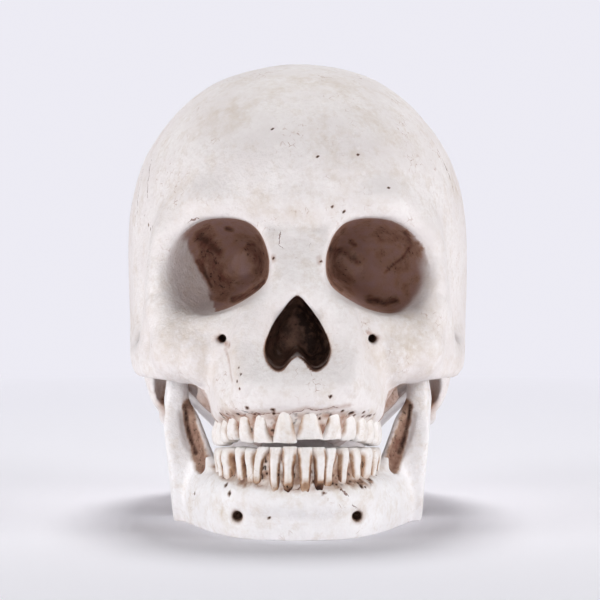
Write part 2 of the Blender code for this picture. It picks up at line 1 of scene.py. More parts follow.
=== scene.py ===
"""Looks of the decorative resin skull: fine bone surface, worn teeth and the brown wash in its hollows."""
import json
import math

import bmesh
import bpy
import numpy as np
from mathutils import Matrix, Vector


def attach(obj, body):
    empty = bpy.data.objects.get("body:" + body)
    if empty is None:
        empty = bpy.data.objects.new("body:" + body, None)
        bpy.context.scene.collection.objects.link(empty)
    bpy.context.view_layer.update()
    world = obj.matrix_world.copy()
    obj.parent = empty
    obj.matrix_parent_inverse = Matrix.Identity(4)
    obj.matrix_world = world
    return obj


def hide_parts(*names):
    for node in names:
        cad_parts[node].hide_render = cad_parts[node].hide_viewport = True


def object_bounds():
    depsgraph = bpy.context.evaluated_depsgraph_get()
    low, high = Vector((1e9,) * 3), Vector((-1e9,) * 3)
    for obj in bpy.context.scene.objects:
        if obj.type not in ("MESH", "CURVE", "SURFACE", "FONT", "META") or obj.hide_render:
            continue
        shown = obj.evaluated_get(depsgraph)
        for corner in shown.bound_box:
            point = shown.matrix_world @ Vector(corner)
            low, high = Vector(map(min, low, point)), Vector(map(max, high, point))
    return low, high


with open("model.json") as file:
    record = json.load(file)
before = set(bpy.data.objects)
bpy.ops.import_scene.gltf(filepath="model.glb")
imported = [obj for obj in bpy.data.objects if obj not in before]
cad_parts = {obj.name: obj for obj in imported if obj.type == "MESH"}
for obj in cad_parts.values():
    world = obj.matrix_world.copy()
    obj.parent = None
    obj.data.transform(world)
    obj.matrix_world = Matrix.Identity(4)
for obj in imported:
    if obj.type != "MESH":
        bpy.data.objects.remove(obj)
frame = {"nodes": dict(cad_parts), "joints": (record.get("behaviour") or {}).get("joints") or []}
cad_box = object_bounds()

# Sizes of the head, as in the part
HALF_BREADTH = 0.07
HALF_LENGTH = 0.1
HEAD_HEIGHT = 0.18
HALF_JAW = 0.0495
FACE_REACH = 0.1
HINGE_SETBACK, HINGE_LEVEL = frame["joints"][0]["pos_m"][1:]
SKULL = Vector((HALF_BREADTH, HALF_LENGTH, HEAD_HEIGHT))
UPPER_JAW = Vector((HALF_BREADTH, FACE_REACH, HEAD_HEIGHT))
LOWER_JAW = Vector((HALF_JAW, FACE_REACH, HINGE_LEVEL))
JAW_OPENING = math.radians(15)
JAW_CLEARANCE = 0.0012
CONDYLE_PLACE = 0.04854
CONDYLE_WIDTH = 0.016
CONDYLE_RADIUS = 0.0048
CONDYLE_CLEARANCE = 0.0012
PIN_HEAD_LENGTH = 0.0018
SKIN_VOXEL = 0.0012
FINE_VOXEL = 0.0009
SIDES = (("left", -1), ("right", 1))
# A limb whose direction has less than this of its length across the level counts as upright
UPRIGHT_LIMIT = 0.3

# Eye sockets and nose opening
ORBIT_SPACING = 0.061
ORBIT_WIDTH = 0.04
ORBIT_HEIGHT = 0.036
ORBIT_LEVEL = 0.1005
NOSE_WIDTH = 0.0245
NOSE_HEIGHT = 0.0278
NOSE_FLOOR_LEVEL = 0.0625
TEMPLE_PLACE_SHARE = -0.36
TEMPLE_SPREAD_SHARE = 0.24
GUM_RISE_SHARE = 0.046
NOSE_TAPER_SHARE = 0.4
RAMUS_SPLAY_SHARE = 0.15

# Dental arches
ARCH_HALF_WIDTH = 0.0285
ARCH_DEPTH = 0.044
ARCH_FRONT = 0.0985
BITE_LEVEL = 0.0357
BITE_DROP = 0.005
BITE_GAP = 0.0014
UPPER_TOOTH_LENGTH = 0.0175
LOWER_ROOT_LEVEL = 0.017
TOOTH_DEPTH = 0.0062
TOOTH_GAP = 0.0008
WALL_HALF = 0.0014
WALL_SETBACK = 0.0016
WALL_TOP_LEVEL = 0.056
WALL_FOOT_LEVEL = 0.018
WALL_STEPS = 40
WALL_TURN_SHARE = 1.05
ARCH_STEPS = 400
ARCH_TURN_SHARE = 1.1

# Horizontal sections of the brain case: level, half width, front, back, widest place, pinch
vault_shares = (
    (-0.02, 0.12, 0.32, 0.58, 0.45, 0.0),
    (0.03, 0.22, 0.26, 0.66, 0.45, 0.0),
    (0.08, 0.33, 0.18, 0.76, 0.45, 0.0),
    (0.15, 0.47, 0.06, 0.86, 0.45, 0.0),
    (0.22, 0.64, -0.12, 0.93, 0.42, 0.0),
    (0.29, 0.84, -0.28, 0.975, 0.36, 0.02),
    (0.37, 0.965, -0.48, 1.01, 0.3, 0.04),
    (0.46, 0.995, -0.62, 1.028, 0.28, 0.05),
    (0.555, 1.0, -0.685, 1.03, 0.28, 0.05),
    (0.665, 0.985, -0.715, 0.995, 0.27, 0.03),
    (0.745, 0.935, -0.7, 0.935, 0.25, 0.01),
    (0.81, 0.86, -0.655, 0.865, 0.22, 0.0),
    (0.87, 0.75, -0.575, 0.77, 0.2, 0.0),
    (0.925, 0.61, -0.45, 0.65, 0.18, 0.0),
    (0.97, 0.42, -0.28, 0.49, 0.16, 0.0),
    (0.992, 0.22, -0.1, 0.34, 0.15, 0.0),
    (1.0, 0.06, 0.06, 0.2, 0.14, 0.0),
)

# Horizontal sections of the upper jaw: level, half width, front, back, widest place, pinch
maxilla_shares = (
    (0.222, 0.4, -0.98, -0.46, -0.62, 0.0),
    (0.23, 0.45, -1.025, -0.44, -0.62, 0.0),
    (0.27, 0.48, -1.025, -0.42, -0.6, 0.0),
    (0.305, 0.49, -0.98, -0.42, -0.58, 0.0),
    (0.34, 0.51, -0.92, -0.4, -0.56, 0.0),
    (0.39, 0.56, -0.835, -0.35, -0.54, 0.0),
    (0.44, 0.56, -0.775, -0.3, -0.52, 0.0),
    (0.5, 0.33, -0.75, -0.3, -0.52, 0.0),
    (0.58, 0.22, -0.72, -0.3, -0.52, 0.0),
    (0.65, 0.2, -0.69, -0.3, -0.52, 0.0),
)

# Rounded lumps of bone: place, then radii, each as shares of half breadth, half length, height
cranium_lump_shares = (
    # forehead between and over the eye sockets
    ((0.0, -0.62, 0.68), (0.34, 0.11, 0.075)),
    ((0.3, -0.575, 0.69), (0.34, 0.12, 0.06)),
    # cheekbone
    ((0.6, -0.565, 0.385), (0.215, 0.125, 0.08)),
    ((0.46, -0.62, 0.375), (0.22, 0.12, 0.075)),
    # outer wall of the eye socket
    ((0.6, -0.4, 0.555), (0.15, 0.19, 0.11)),
    ((0.45, -0.3, 0.47), (0.26, 0.3, 0.12)),
    # root of the cheek arch and roof of the jaw joint
    ((0.86, 0.08, 0.39), (0.11, 0.26, 0.06)),
    ((0.68, -0.03, 0.4), (0.22, 0.16, 0.048)),
    ((0.44, 0.0, 0.345), (0.13, 0.09, 0.06)),
    # middle of the skull base
    ((0.0, -0.2, 0.34), (0.3, 0.32, 0.1)),
    ((0.19, 0.11, 0.18), (0.09, 0.12, 0.04)),
    # bump at the back of the head
    ((0.0, 0.925, 0.3), (0.09, 0.06, 0.03)),
)

# Bars of bone: places, then the two half thicknesses as shares of half breadth
cranium_bar_shares = (
    # brow
    (((0.0, -0.635, 0.672), 0.09, 0.09), ((0.28, -0.632, 0.68), 0.08, 0.07),
     ((0.52, -0.585, 0.668), 0.08, 0.07), ((0.7, -0.49, 0.625), 0.09, 0.08)),
    # outer rim of the eye socket
    (((0.69, -0.505, 0.64), 0.09, 0.1), ((0.765, -0.5, 0.55), 0.07, 0.095),
     ((0.745, -0.54, 0.46), 0.09, 0.11), ((0.64, -0.59, 0.4), 0.1, 0.11)),
    # side of the face behind the outer rim
    (((0.6, -0.47, 0.69), 0.14, 0.11), ((0.7, -0.42, 0.61), 0.13, 0.13),
     ((0.735, -0.4, 0.51), 0.12, 0.14), ((0.77, -0.4, 0.43), 0.11, 0.15),
     ((0.8, -0.42, 0.36), 0.08, 0.11)),
    # lower rim of the eye socket
    (((0.66, -0.585, 0.42), 0.085, 0.095), ((0.45, -0.67, 0.425), 0.085, 0.09),
     ((0.26, -0.73, 0.45), 0.075, 0.08), ((0.155, -0.735, 0.545), 0.065, 0.08),
     ((0.145, -0.68, 0.64), 0.045, 0.05)),
    # cheek arch
    (((0.66, -0.57, 0.36), 0.08, 0.13), ((0.82, -0.44, 0.355), 0.055, 0.125),
     ((0.9, -0.22, 0.355), 0.048, 0.125), ((0.918, -0.03, 0.375), 0.055, 0.135),
     ((0.9, 0.12, 0.4), 0.085, 0.135)),
    # bridge of the nose
    (((0.0, -0.65, 0.665), 0.15, 0.085), ((0.0, -0.7, 0.6), 0.155, 0.085),
     ((0.0, -0.77, 0.545), 0.15, 0.078), ((0.0, -0.825, 0.505), 0.135, 0.06),
     ((0.0, -0.845, 0.46), 0.11, 0.045)),
    # side of the nose opening
    (((0.11, -0.685, 0.62), 0.08, 0.09), ((0.15, -0.75, 0.54), 0.1, 0.09),
     ((0.225, -0.805, 0.46), 0.1, 0.09), ((0.265, -0.85, 0.38), 0.095, 0.09),
     ((0.24, -0.95, 0.3), 0.085, 0.085)),
    # nasal spine
    (((0.0, -0.82, 0.35), 0.07, 0.07), ((0.0, -0.905, 0.368), 0.035, 0.04)),
    # mastoid process
    (((0.8, 0.13, 0.36), 0.13, 0.15), ((0.765, 0.125, 0.27), 0.12, 0.14),
     ((0.735, 0.11, 0.215), 0.085, 0.1), ((0.7, 0.1, 0.18), 0.04, 0.05)),
    # pterygoid plate
    (((0.23, -0.37, 0.34), 0.06, 0.13), ((0.24, -0.39, 0.26), 0.045, 0.11),
     ((0.25, -0.37, 0.205), 0.04, 0.08)),
    # wall behind the last molar
    (((0.62, -0.33, 0.355), 0.045, 0.1), ((0.53, -0.35, 0.3), 0.045, 0.1),
     ((0.44, -0.37, 0.262), 0.045, 0.1), ((0.34, -0.4, 0.245), 0.045, 0.09)),
    # ridge from cheek to molars
    (((0.6, -0.575, 0.365), 0.1, 0.08), ((0.49, -0.6, 0.325), 0.07, 0.08),
     ((0.435, -0.62, 0.28), 0.055, 0.08), ((0.425, -0.62, 0.235), 0.05, 0.08)),
)

# Eye socket, from outside to its apex: distance back, offset to the middle, size
orbit_shares = (
    (-0.9, 0.02, 1.08), (-0.68, 0.0, 1.03), (-0.56, 0.0, 1.0),
    (-0.44, -0.07, 0.86), (-0.33, -0.17, 0.6), (-0.24, -0.28, 0.28),
)

# Outline of the eye socket from the top toward the nose: place across and up
orbit_outline_shares = (
    (-0.21, 0.99), (-0.57, 0.91), (-0.78, 0.72), (-0.91, 0.43), (-0.98, 0.06),
    (-0.91, -0.36), (-0.55, -0.7), (-0.1, -0.94), (0.34, -1.0), (0.72, -0.78),
    (0.93, -0.42), (0.99, -0.02), (0.87, 0.38), (0.61, 0.71), (0.25, 0.94),
)

# Half outline of the nose opening from its top round to the middle of its floor
nose_outline_shares = (
    (0.0, 1.0), (0.24, 0.88), (0.43, 0.76), (0.74, 0.57), (0.96, 0.37), (1.0, 0.24),
    (0.88, 0.1), (0.62, 0.01), (0.4, 0.03), (0.18, 0.14), (0.0, 0.19),
)
nose_depth_shares = ((-1.05, 1.0), (-0.86, 1.0), (-0.74, 1.1), (-0.6, 1.0), (-0.5, 0.6))

# Hollows in the bone: place and radii
cranium_hollow_shares = (
    ((0.0, 0.14, 0.14), (0.21, 0.15, 0.095)),
    ((0.0, -0.64, 0.215), (0.29, 0.27, 0.06)),
    ((1.07, -0.08, 0.51), (0.125, 0.31, 0.125)),
    ((0.7, -0.28, 0.32), (0.17, 0.19, 0.11)),
    ((0.775, 0.03, 0.275), (0.055, 0.1, 0.045)),
)

# Nerve holes: place on the skull and on the lower jaw, radius, how wide their ends are, depth
cheek_hole_shares = (0.4, -0.7, 0.408)
chin_hole_shares = (0.445, -0.88, 0.138)
CHEEK_HOLE_RADIUS = 0.0017
CHIN_HOLE_RADIUS = 0.0019
HOLE_WIDTH_SHARE = 1.15
HOLE_DEPTH = 0.009

# Lower jaw
jaw_body_shares = (
    ((-0.085, -0.93, 0.135), 0.127, 0.247), ((0.283, -0.895, 0.135), 0.127, 0.247),
    ((0.467, -0.8, 0.135), 0.124, 0.247), ((0.594, -0.68, 0.135), 0.12, 0.247),
    ((0.7, -0.55, 0.141), 0.116, 0.255), ((0.806, -0.4, 0.15), 0.113, 0.269),
    ((0.898, -0.27, 0.165), 0.099, 0.283),
)
jaw_ridge_shares = (
    ((-0.085, -0.958, 0.246), 0.124, 0.148), ((0.269, -0.922, 0.246), 0.124, 0.148),
    ((0.453, -0.826, 0.246), 0.124, 0.148), ((0.552, -0.7, 0.252), 0.124, 0.141),
    ((0.615, -0.56, 0.264), 0.12, 0.134), ((0.707, -0.42, 0.315), 0.113, 0.113),
)
# Inner edge of the slot between the last molar and the ramus, the web behind it, and the slot
jaw_inner_shares = (
    ((0.629, -0.56, 0.315), 0.085, 0.099), ((0.679, -0.51, 0.375), 0.066, 0.085),
    ((0.745, -0.44, 0.495), 0.056, 0.085), ((0.812, -0.375, 0.63), 0.048, 0.085),
    ((0.9, -0.34, 0.74), 0.045, 0.071),
)
jaw_web_shares = (
    ((0.74, -0.45, 0.34), 0.09, 0.08), ((0.815, -0.375, 0.52), 0.09, 0.075),
    ((0.87, -0.34, 0.66), 0.08, 0.07), ((0.92, -0.31, 0.76), 0.06, 0.06),
)
jaw_trough_shares = (
    ((0.89, -0.395, 0.74), 0.036, 0.06), ((0.862, -0.415, 0.65), 0.052, 0.085),
    ((0.816, -0.45, 0.53), 0.06, 0.09), ((0.765, -0.495, 0.415), 0.054, 0.066),
    ((0.735, -0.535, 0.345), 0.025, 0.035),
)
# Side view of the ramus: distance back and level
ramus_shares = (
    (-0.23, -0.06), (-0.165, 0.18), (-0.105, 0.48), (-0.058, 0.75), (-0.035, 0.99),
    (-0.075, 0.99), (-0.12, 0.855), (-0.19, 0.786), (-0.255, 0.885), (-0.305, 1.125),
    (-0.345, 1.08), (-0.37, 0.87), (-0.4, 0.63), (-0.455, 0.39), (-0.44, 0.15),
    (-0.36, -0.06),
)
# Place of the ramus across the head at rising levels, and its half thickness
ramus_place_shares = (
    (-0.06, 0.905, 0.088),
    (0.18, 0.93, 0.085),
    (0.45, 0.965, 0.079),
    (0.62, 1.005, 0.074),
    (0.81, 1.0, 0.065),
    (1.14, 0.93, 0.051),
)
# Shares of the opening at which the rami are cut out of the skull base
sweep_shares = (-0.1, 0.25, 0.6, 1.0)

# Rim of the eye socket, how far its outer side lies back and over what width, where its hollow ends
# across and back, and the depth over which it darkens. Then the nose opening in the same way:
ORBIT_RIM_FRONT = -0.072
ORBIT_RIM_SLOPE = 0.016
ORBIT_RIM_FADE = (-0.002, 0.02)
ORBIT_EDGE_SHARE = 1.01
ORBIT_END = -0.02
ORBIT_DEPTH_FADE = (0.001, 0.012)
NOSE_MIDDLE_SHARE = 0.38
nose_edge_shares = (0.98, 1.06)
NOSE_END = -0.04

# Marks are laid on what lies in front of a limit: search width, depth behind the foremost point
MARK_LIMIT = 0.0
VAULT_CRACK_LIMIT = 0.03
PIT_LIMIT = -0.03
LAY_REACH = 0.0012
LAY_DEPTH = 0.006
CRACK_REACH = 0.0022

# Sizes of the noise that breaks up the marks, and how many finer noises each holds
NOISE_OCTAVES = 3
BLOTCH_SIZE = 0.009
STREAK_SIZE = 0.004
FINE_SIZE = 0.003
RAGGED_SIZE = 0.002
GRAIN_SIZE = 0.0018
SPECK_SIZE = 0.0016
PIT_GRAIN_SIZE = 0.0014

# Relief of the bone: size of the bumps, seed, height
cranium_relief = ((0.03, 3, 0.0005), (0.007, 9, 0.00018), (0.0024, 13, 0.00008))
jaw_relief = ((0.02, 5, 0.0004), (0.007, 11, 0.00018), (0.0024, 15, 0.00008))

# Where the skull is smoothed: place, radii, rounds. First the bridge of the nose, then each side:
EASE_GAIN = 1.6
bridge_easing = ((0, -0.081, 0.093), (0.024, 0.014, 0.011), 40)
side_easings = (
    ((0.068, -0.01, 0.1), (0.022, 0.06, 0.03), 250),
    ((0.066, -0.01, 0.072), (0.02, 0.04, 0.01), 30),
    ((0.042, -0.056, 0.129), (0.02, 0.022, 0.012), 80),
    ((0.0145, -0.075, 0.092), (0.005, 0.008, 0.005), 30),
)

# Levels and widths over which marks come in or fade, in metres
CAVITY_ROUNDS = 10
CAVITY_FADE = (0.0004, 0.0014)
ARCH_BACK_FADE = (0.045, 0.056)
ARCH_SIDE_FADE = (ARCH_HALF_WIDTH - 0.001, ARCH_HALF_WIDTH + 0.002)
UPPER_ARCH_FADE = (0.0455, 0.05)
LOWER_ARCH_FADE = (0.0185, 0.0225)
CLEAN_SIDE_FADE = (0.016, 0.022)
PALE_WALL_FADE = (-0.0006, 0.001)
PALE_TOP_FADE = (0.1075, 0.1125)
SLOT_FRONT = -0.052
SLOT_LEVEL_FADE = (0.026, 0.044)
SLOT_HALF = 0.0018
SLOT_WIDENING = 0.0012
CRANIUM_PATCH_SIZE = 0.028
JAW_PATCH_SIZE = 0.024
INNER_JAW_TOP = 0.04
INNER_JAW_BACK = -0.03

# Part of the skull base within the jaw, with brown wash and painted shade, and the painted shade in the
# recess behind each jaw joint
BASE_HALF_WIDTH = 0.054
BASE_HALF_LENGTH = 0.045
BASE_MIDDLE = -0.03
BASE_LEVEL = 0.066
joint_painted_shade = (
    ("wash", 0.95, (0.052, 0.004, 0.045), (0.0042, 0.016, 0.0065)),
    ("pit", 0.9, (0.0515, 0.004, 0.0435), (0.0025, 0.016, 0.003)),
)
# The dark core and the brown edge of the nerve holes: layer, strength, radii
cheek_hole_marks = (("pit", 1.4, (0.0016, 0.0035, 0.0016)), ("wash", 1.2, (0.0027, 0.005, 0.0017)))
chin_hole_marks = (("pit", 1.4, (0.0017, 0.0035, 0.0017)), ("wash", 1.2, (0.0021, 0.005, 0.0021)))


def metres(rows):
    """Millimetres, in nested rows or alone, as metres."""
    return tuple(metres(row) for row in rows) if isinstance(rows, tuple) else rows / 1000


def marks(*rows):
    """Marks of the front: strength, then half width and path across and up in millimetres."""
    return tuple((strength, metres(reach), metres(path)) for strength, reach, path in rows)


# Marks of the front by place across and up. Edge of the pale outer wall in the left eye socket:
pale_wall_edge = metres(((-33, 87), (-34.5, 91.5), (-37.6, 97.7), (-39.9, 103.1), (-41.8, 109),
                         (-42, 113)))
# Brown in the eye sockets: strength, half width, path
orbit_marks = marks(
    (0.8, 5.5, ((-36, 111), (-34, 103), (-31, 94), (-29, 90))),
    (0.66, 6, ((13, 108), (15, 100), (20, 93))),
    (0.62, 5, ((33, 112), (40, 111), (45, 106))),
    (0.95, 3, ((-37, 111), (-33, 107), (-31, 105))),
    (0.95, 1.2, ((-38.5, 101.5), (-36.2, 97), (-33.5, 91.5))),
    (0.9, 1.2, ((-27.5, 114.3), (-25.5, 113.6))),
    (0.8, 4.6, ((-18, 107), (-15, 104), (-14, 98))),
    (0.7, 6, ((-15, 108), (-12, 100), (-12, 94))),
    (0.95, 1.6, ((-25, 86.8), (-19, 89), (-13, 93.5))),
    (0.9, 1.2, ((-38, 86.6), (-35, 88.5), (-34, 86.2))),
    (0.85, 3, ((13, 106), (18, 105), (24, 101))),
    (0.9, 1, ((43.4, 107), (41.1, 103.1), (36.4, 99.3), (34.1, 97))),
    (0.85, 1.6, ((41.5, 113), (44, 108))),
    (0.98, 2.2, ((28, 86.8), (33, 85.5), (38, 86.5))),
    (0.8, 1.2, ((12, 98.5), (13, 93.5), (17, 90.5))),
    (0.85, 1.2, ((21, 109), (22.5, 107.8))),
)
nose_dark_path = metres(((3.5, 83), (6, 74), (7, 68)))
# The path in the nose and its mirror image: side, strength, half width
nose_darks = ((1, 0.88, 0.007), (-1, 0.55, 0.006))
# Slot of the ramus beside the last molar, on either side, and the layers of its dark outer edge:
# strength and the distance over which it fades
slot_path = metres(((43, 45.5), (41.6, 40), (39.3, 32), (36.2, 22.5)))
slot_dark_path = metres(((44, 45), (43.4, 40), (41.4, 32), (39.6, 27.5)))
slot_edges = (("wash", 0.95, (0.0004, 0.0018)), ("pit", 0.75, (0.0002, 0.0014)))
bone_washes = marks(
    (0.55, 1, ((-27.5, 72.2), (-25.6, 71.1))),
    (0.3, 1, ((-27.1, 70), (-25.6, 64.8), (-24, 59.3))),
    (0.55, 0.9, ((26.2, 75.8), (29.2, 74.2))),
    (0.35, 1.1, ((-8.8, 104.7), (-8.6, 103))),
    (0.35, 1.1, ((8.6, 103.6), (8.2, 102))),
    (0.34, 1.1, ((-21.5, 45.8), (-15.2, 47.2), (-7.1, 47.4), (-0.1, 48.2), (3.2, 49.3), (8.4, 48.8),
                 (13.1, 49.1), (19.4, 50))),
    (0.4, 1.4, ((-29, 42), (-25.5, 43.6), (-21.5, 45.8))),
    (0.55, 1.6, ((-32, 23.5), (-29, 22.5), (-25, 21.5))),
    (0.45, 1.4, ((-25, 21.2), (-15, 20), (0, 19.2), (15, 19.6), (26, 21.2))),
    (0.55, 1.6, ((25.5, 22.2), (30, 23.5))),
)
bone_tan_marks = marks(
    (0.75, 5, ((-16.7, 124.3), (-12, 125))),
    (0.6, 3, ((-6, 120), (0, 121.5), (6, 119))),
    (0.75, 4, ((-30, 11), (-25, 6))),
    (0.55, 3, ((15, 9), (23, 12))),
    (0.8, 3, ((-33, 23), (-20, 20), (0, 18.5), (20, 19.5), (32, 23))),
    (0.65, 4, ((-24, 70), (-22, 60))),
    (0.6, 4, ((33, 70), (30, 64))),
    (0.65, 6, ((-36, 156), (-25, 162))),
    (0.55, 6, ((25, 160), (35, 150))),
    # The two broad marks over the cheeks darken them toward tan.
    (0.75, 12, ((-44, 76), (-38, 66))),
    (0.95, 13, ((46, 78), (38, 68))),
    (0.5, 6, ((-50, 124), (-46, 130))),
)
bone_cracks = metres((
    ((-6.9, 113.1), (-6.7, 110.5), (-6.1, 108.2)),
    ((5.5, 112.7), (4.8, 109.3)),
    ((-40.4, 117.5), (-39.2, 118.2), (-38, 118.6)),
    ((16.9, 18.7), (19.5, 14.9), (21.7, 11.6)),
    ((-55.4, 149.3), (-57, 144), (-58.2, 139), (-58.8, 133), (-59, 127), (-60.2, 118.6)),
    ((-62, 137), (-63.2, 128), (-64.2, 119)),
    ((56, 144), (60, 135), (63, 126)),
    ((-20.5, 46), (-18.2, 46.8), (-15.2, 47.2), (-12, 46.8), (-9.5, 48), (-7.1, 47.4), (-4, 47.1),
     (-0.1, 48.2), (3.2, 49.3), (8.4, 48.8), (13.1, 49.1), (19.4, 50)),
    ((-4, 21), (-1, 19), (3, 21.5)),
))
# Pits of the front: place across and up, radius
bone_pits = metres((
    (-9.3, 152.4, 0.5), (7.4, 141.7, 0.4), (23, 142.5, 0.5), (34.4, 130, 0.5), (18, 121.3, 0.4),
    (13.4, 122.6, 0.4), (-10.6, 8.6, 0.6), (12.3, 53.2, 0.7), (-18.7, 49.1, 0.8), (-21.5, 64, 0.5),
    (-20.8, 61.5, 0.5), (-22.2, 59, 0.5), (-21.2, 56.5, 0.5), (-58.4, 115.5, 0.7), (-57.5, 114, 0.6),
    (-56.8, 115, 0.5), (-8.8, 104, 0.6), (8.6, 102.5, 0.6), (-39.5, 13, 0.6), (10, 17.7, 0.7),
))
# Levels of the small holes between the teeth, how often and how far off they come, and their radii
gap_pit_levels = {"upper": (0.04, 0.047, 0.048), "lower": (0.0215, 0.0235, 0.027, 0.032)}
PIT_CHANCE = 0.75
PIT_SCATTER = 0.0011
PIT_SMALL = 0.0005
PIT_LARGE = 0.0012
# How ragged, steep and deep a pit is, and what is painted in it
PIT_RAGGEDNESS = 0.25
PIT_STEEPNESS = 1.5
PIT_DEPTH_SHARE = 0.5
pit_layers = (("wash", 1.3), ("pit", 1.2))

# How far the biting edges stand back from the gap, from the middle out
bite_lifts = {
    ("upper", "left"): (0.0, 0.0002, 0.0004, 0.0016, 0.0008, 0.0, 0.0),
    ("upper", "right"): (0.0013, 0.0014, 0.0012, 0.001, 0.0007, 0.0004, 0.0),
    ("lower", "left"): (0.0, 0.0001, 0.0, 0.0004, 0.0, 0.0, 0.0, 0.0),
    ("lower", "right"): (0.0003, 0.0001, 0.0004, 0.0002, 0.0001, 0.0, 0.0, 0.0),
}

# How much brown lies between the teeth, from the middle out
seam_strengths = {
    ("upper", "left"): (0.62, 0.68, 0.72, 0.8, 0.7, 0.6, 0.5),
    ("upper", "right"): (0.62, 0.68, 0.66, 0.36, 0.2, 0.15, 0.15),
    ("lower", "left"): (1.25, 1.25, 1.2, 1.1, 1.1, 1.0, 0.9, 0.8),
    ("lower", "right"): (1.25, 1.25, 1.2, 1.1, 1.1, 1.0, 0.9, 0.9),
}

# Tooth widths from the middle out
upper_width_shares = (1.0, 0.92, 0.92, 0.8, 0.78, 1.15, 1.08)
lower_width_shares = (1.0, 1.0, 1.02, 1.05, 1.25, 1.95, 1.95, 1.9)


def at(place, size=SKULL):
    """A point given in shares of a size: half the breadth, the length forward or back, the height."""
    return Vector([share * length for share, length in zip(place, size)])


def smooth_between(rows, steps):
    """Rows of numbers with steps - 1 rows added between each pair on a smooth curve."""
    result = []
    last = len(rows) - 1
    for i in range(last):
        before, start, end, after = (rows[max(0, i - 1)], rows[i], rows[i + 1],
                                     rows[min(last, i + 2)])
        for k in range(steps):
            t = k / steps
            result.append(tuple(
                0.5 * (2 * b + (c - a) * t + (2 * a - 5 * b + 4 * c - d) * t * t
                       + (3 * b - a - 3 * c + d) * t ** 3)
                for a, b, c, d in zip(before, start, end, after)))
    result.append(tuple(rows[last]))
    return result


def loft(bm, rings):
    """A closed skin over rings of equal count, capped at both ends."""
    loops = [[bm.verts.new(point) for point in ring] for ring in rings]
    faces = []
    for low, high in zip(loops, loops[1:]):
        for i in range(len(low)):
            j = (i + 1) % len(low)
            faces.append(bm.faces.new((low[i], low[j], high[j], high[i])))
    faces.append(bm.faces.new(loops[0][::-1]))
    faces.append(bm.faces.new(loops[-1]))
    bmesh.ops.recalc_face_normals(bm, faces=faces)


def power(value, exponent):
    """Signed power, for rounded squares."""
    return math.copysign(abs(value) ** exponent, value)


def stack(bm, table, size=SKULL, sides=72, steps=4, squareness=2.4, rise=0.0):
    """Egg-shaped horizontal sections, one above the other, drawn in at the temples."""
    rings = []
    for level, width, front, back, widest, pinch in smooth_between(table, steps):
        ring = []
        for i in range(sides):
            angle = 2 * math.pi * i / sides
            across = power(math.cos(angle), 2 / squareness)
            along = power(math.sin(angle), 2 / squareness)
            reach = (back - widest) if along > 0 else (widest - front)
            y = widest + along * reach
            waist = 1 - pinch * math.exp(-((y - TEMPLE_PLACE_SHARE) / TEMPLE_SPREAD_SHARE) ** 2)
            lift = rise * (widest - y) / (widest - front) if y < widest else 0.0
            ring.append(at((across * width * waist, y, level + lift), size))
        rings.append(ring)
    loft(bm, rings)


def ball(bm, middle, radii, around=24, levels=16):
    """An ellipsoid."""
    bmesh.ops.create_uvsphere(bm, u_segments=around, v_segments=levels, radius=1,
                              matrix=Matrix.LocRotScale(middle, None, radii))


def lump(bm, place, radii, size=SKULL):
    """An ellipsoid given in shares of a size."""
    ball(bm, at(place, size), at(radii, size), 32, 20)


def bar(bm, stations, size=SKULL, sides=20, steps=6):
    """A limb of oval section along a smooth path."""
    rows = [(*place, thin, tall) for place, thin, tall in stations]
    rows = smooth_between(rows, steps)
    points = [at(row[:3], size) for row in rows]
    rings = []
    for i, (point, row) in enumerate(zip(points, rows)):
        ahead = (points[min(i + 1, len(points) - 1)] - points[max(i - 1, 0)]).normalized()
        out = ahead.cross(Vector((0, 0, 1)))
        if out.length < UPRIGHT_LIMIT:
            out = Vector((1, 0, 0))
        out.normalize()
        up = out.cross(ahead).normalized()
        thin, tall = row[3] * size.x, row[4] * size.x
        rings.append([point + out * (math.cos(a) * thin) + up * (math.sin(a) * tall)
                      for a in (2 * math.pi * k / sides for k in range(sides))])
    loft(bm, rings)


def add_object(name, bm, guide=False):
    mesh = bpy.data.meshes.new(name)
    bm.to_mesh(mesh)
    bm.free()
    mesh.shade_smooth()
    made = bpy.data.objects.new(name, mesh)
    bpy.context.collection.objects.link(made)
    if guide:
        made.hide_render = True
    return made


def cover(target, look):
    """Give an object one material and no other."""
    target.data.materials.clear()
    target.data.materials.append(look)


def mirror(target):
    step = target.modifiers.new("both_sides", "MIRROR")
    step.use_mirror_merge = False


def fuse(target, size, rounds):
    """Melt overlapping lumps into one skin and soften it."""
    step = target.modifiers.new("fuse", "REMESH")
    step.mode = "VOXEL"
    step.voxel_size = size
    soften = target.modifiers.new("soften", "SMOOTH")
    soften.iterations = rounds


def combine(target, other, operation):
    step = target.modifiers.new(operation.lower(), "BOOLEAN")
    step.operation = operation
    step.solver = "EXACT"
    step.object = other


def settle(target, *guides):
    """Keep what the modifiers make as the object's own mesh, and drop the guides."""
    graph = bpy.context.evaluated_depsgraph_get()
    mesh = bpy.data.meshes.new_from_object(target.evaluated_get(graph))
    target.modifiers.clear()
    old, target.data = target.data, mesh
    bpy.data.meshes.remove(old)
    for guide in guides:
        bpy.data.objects.remove(guide, do_unlink=True)


def closed_curve(rows, steps):
    """A smooth closed outline through the rows."""
    rounded = smooth_between((rows[-1], *rows, rows[0], rows[1]), steps)
    return rounded[steps:-steps - 1]


def orbit_ring(back, inward, size):
    middle = (ORBIT_SPACING + inward * HALF_BREADTH) / 2
    return [Vector((middle + x * ORBIT_WIDTH / 2 * size, back * HALF_LENGTH,
                    ORBIT_LEVEL + z * ORBIT_HEIGHT / 2 * size))
            for x, z in closed_curve(orbit_outline_shares, 4)]


def nose_outline(middle):
    """Outline of the nose opening about a point so far over its floor, in metres."""
    half = [(x * NOSE_WIDTH / 2, z * NOSE_HEIGHT - middle)
            for x, z in smooth_between(nose_outline_shares, 3)]
    return half + [(-x, z) for x, z in half[-2:0:-1]]


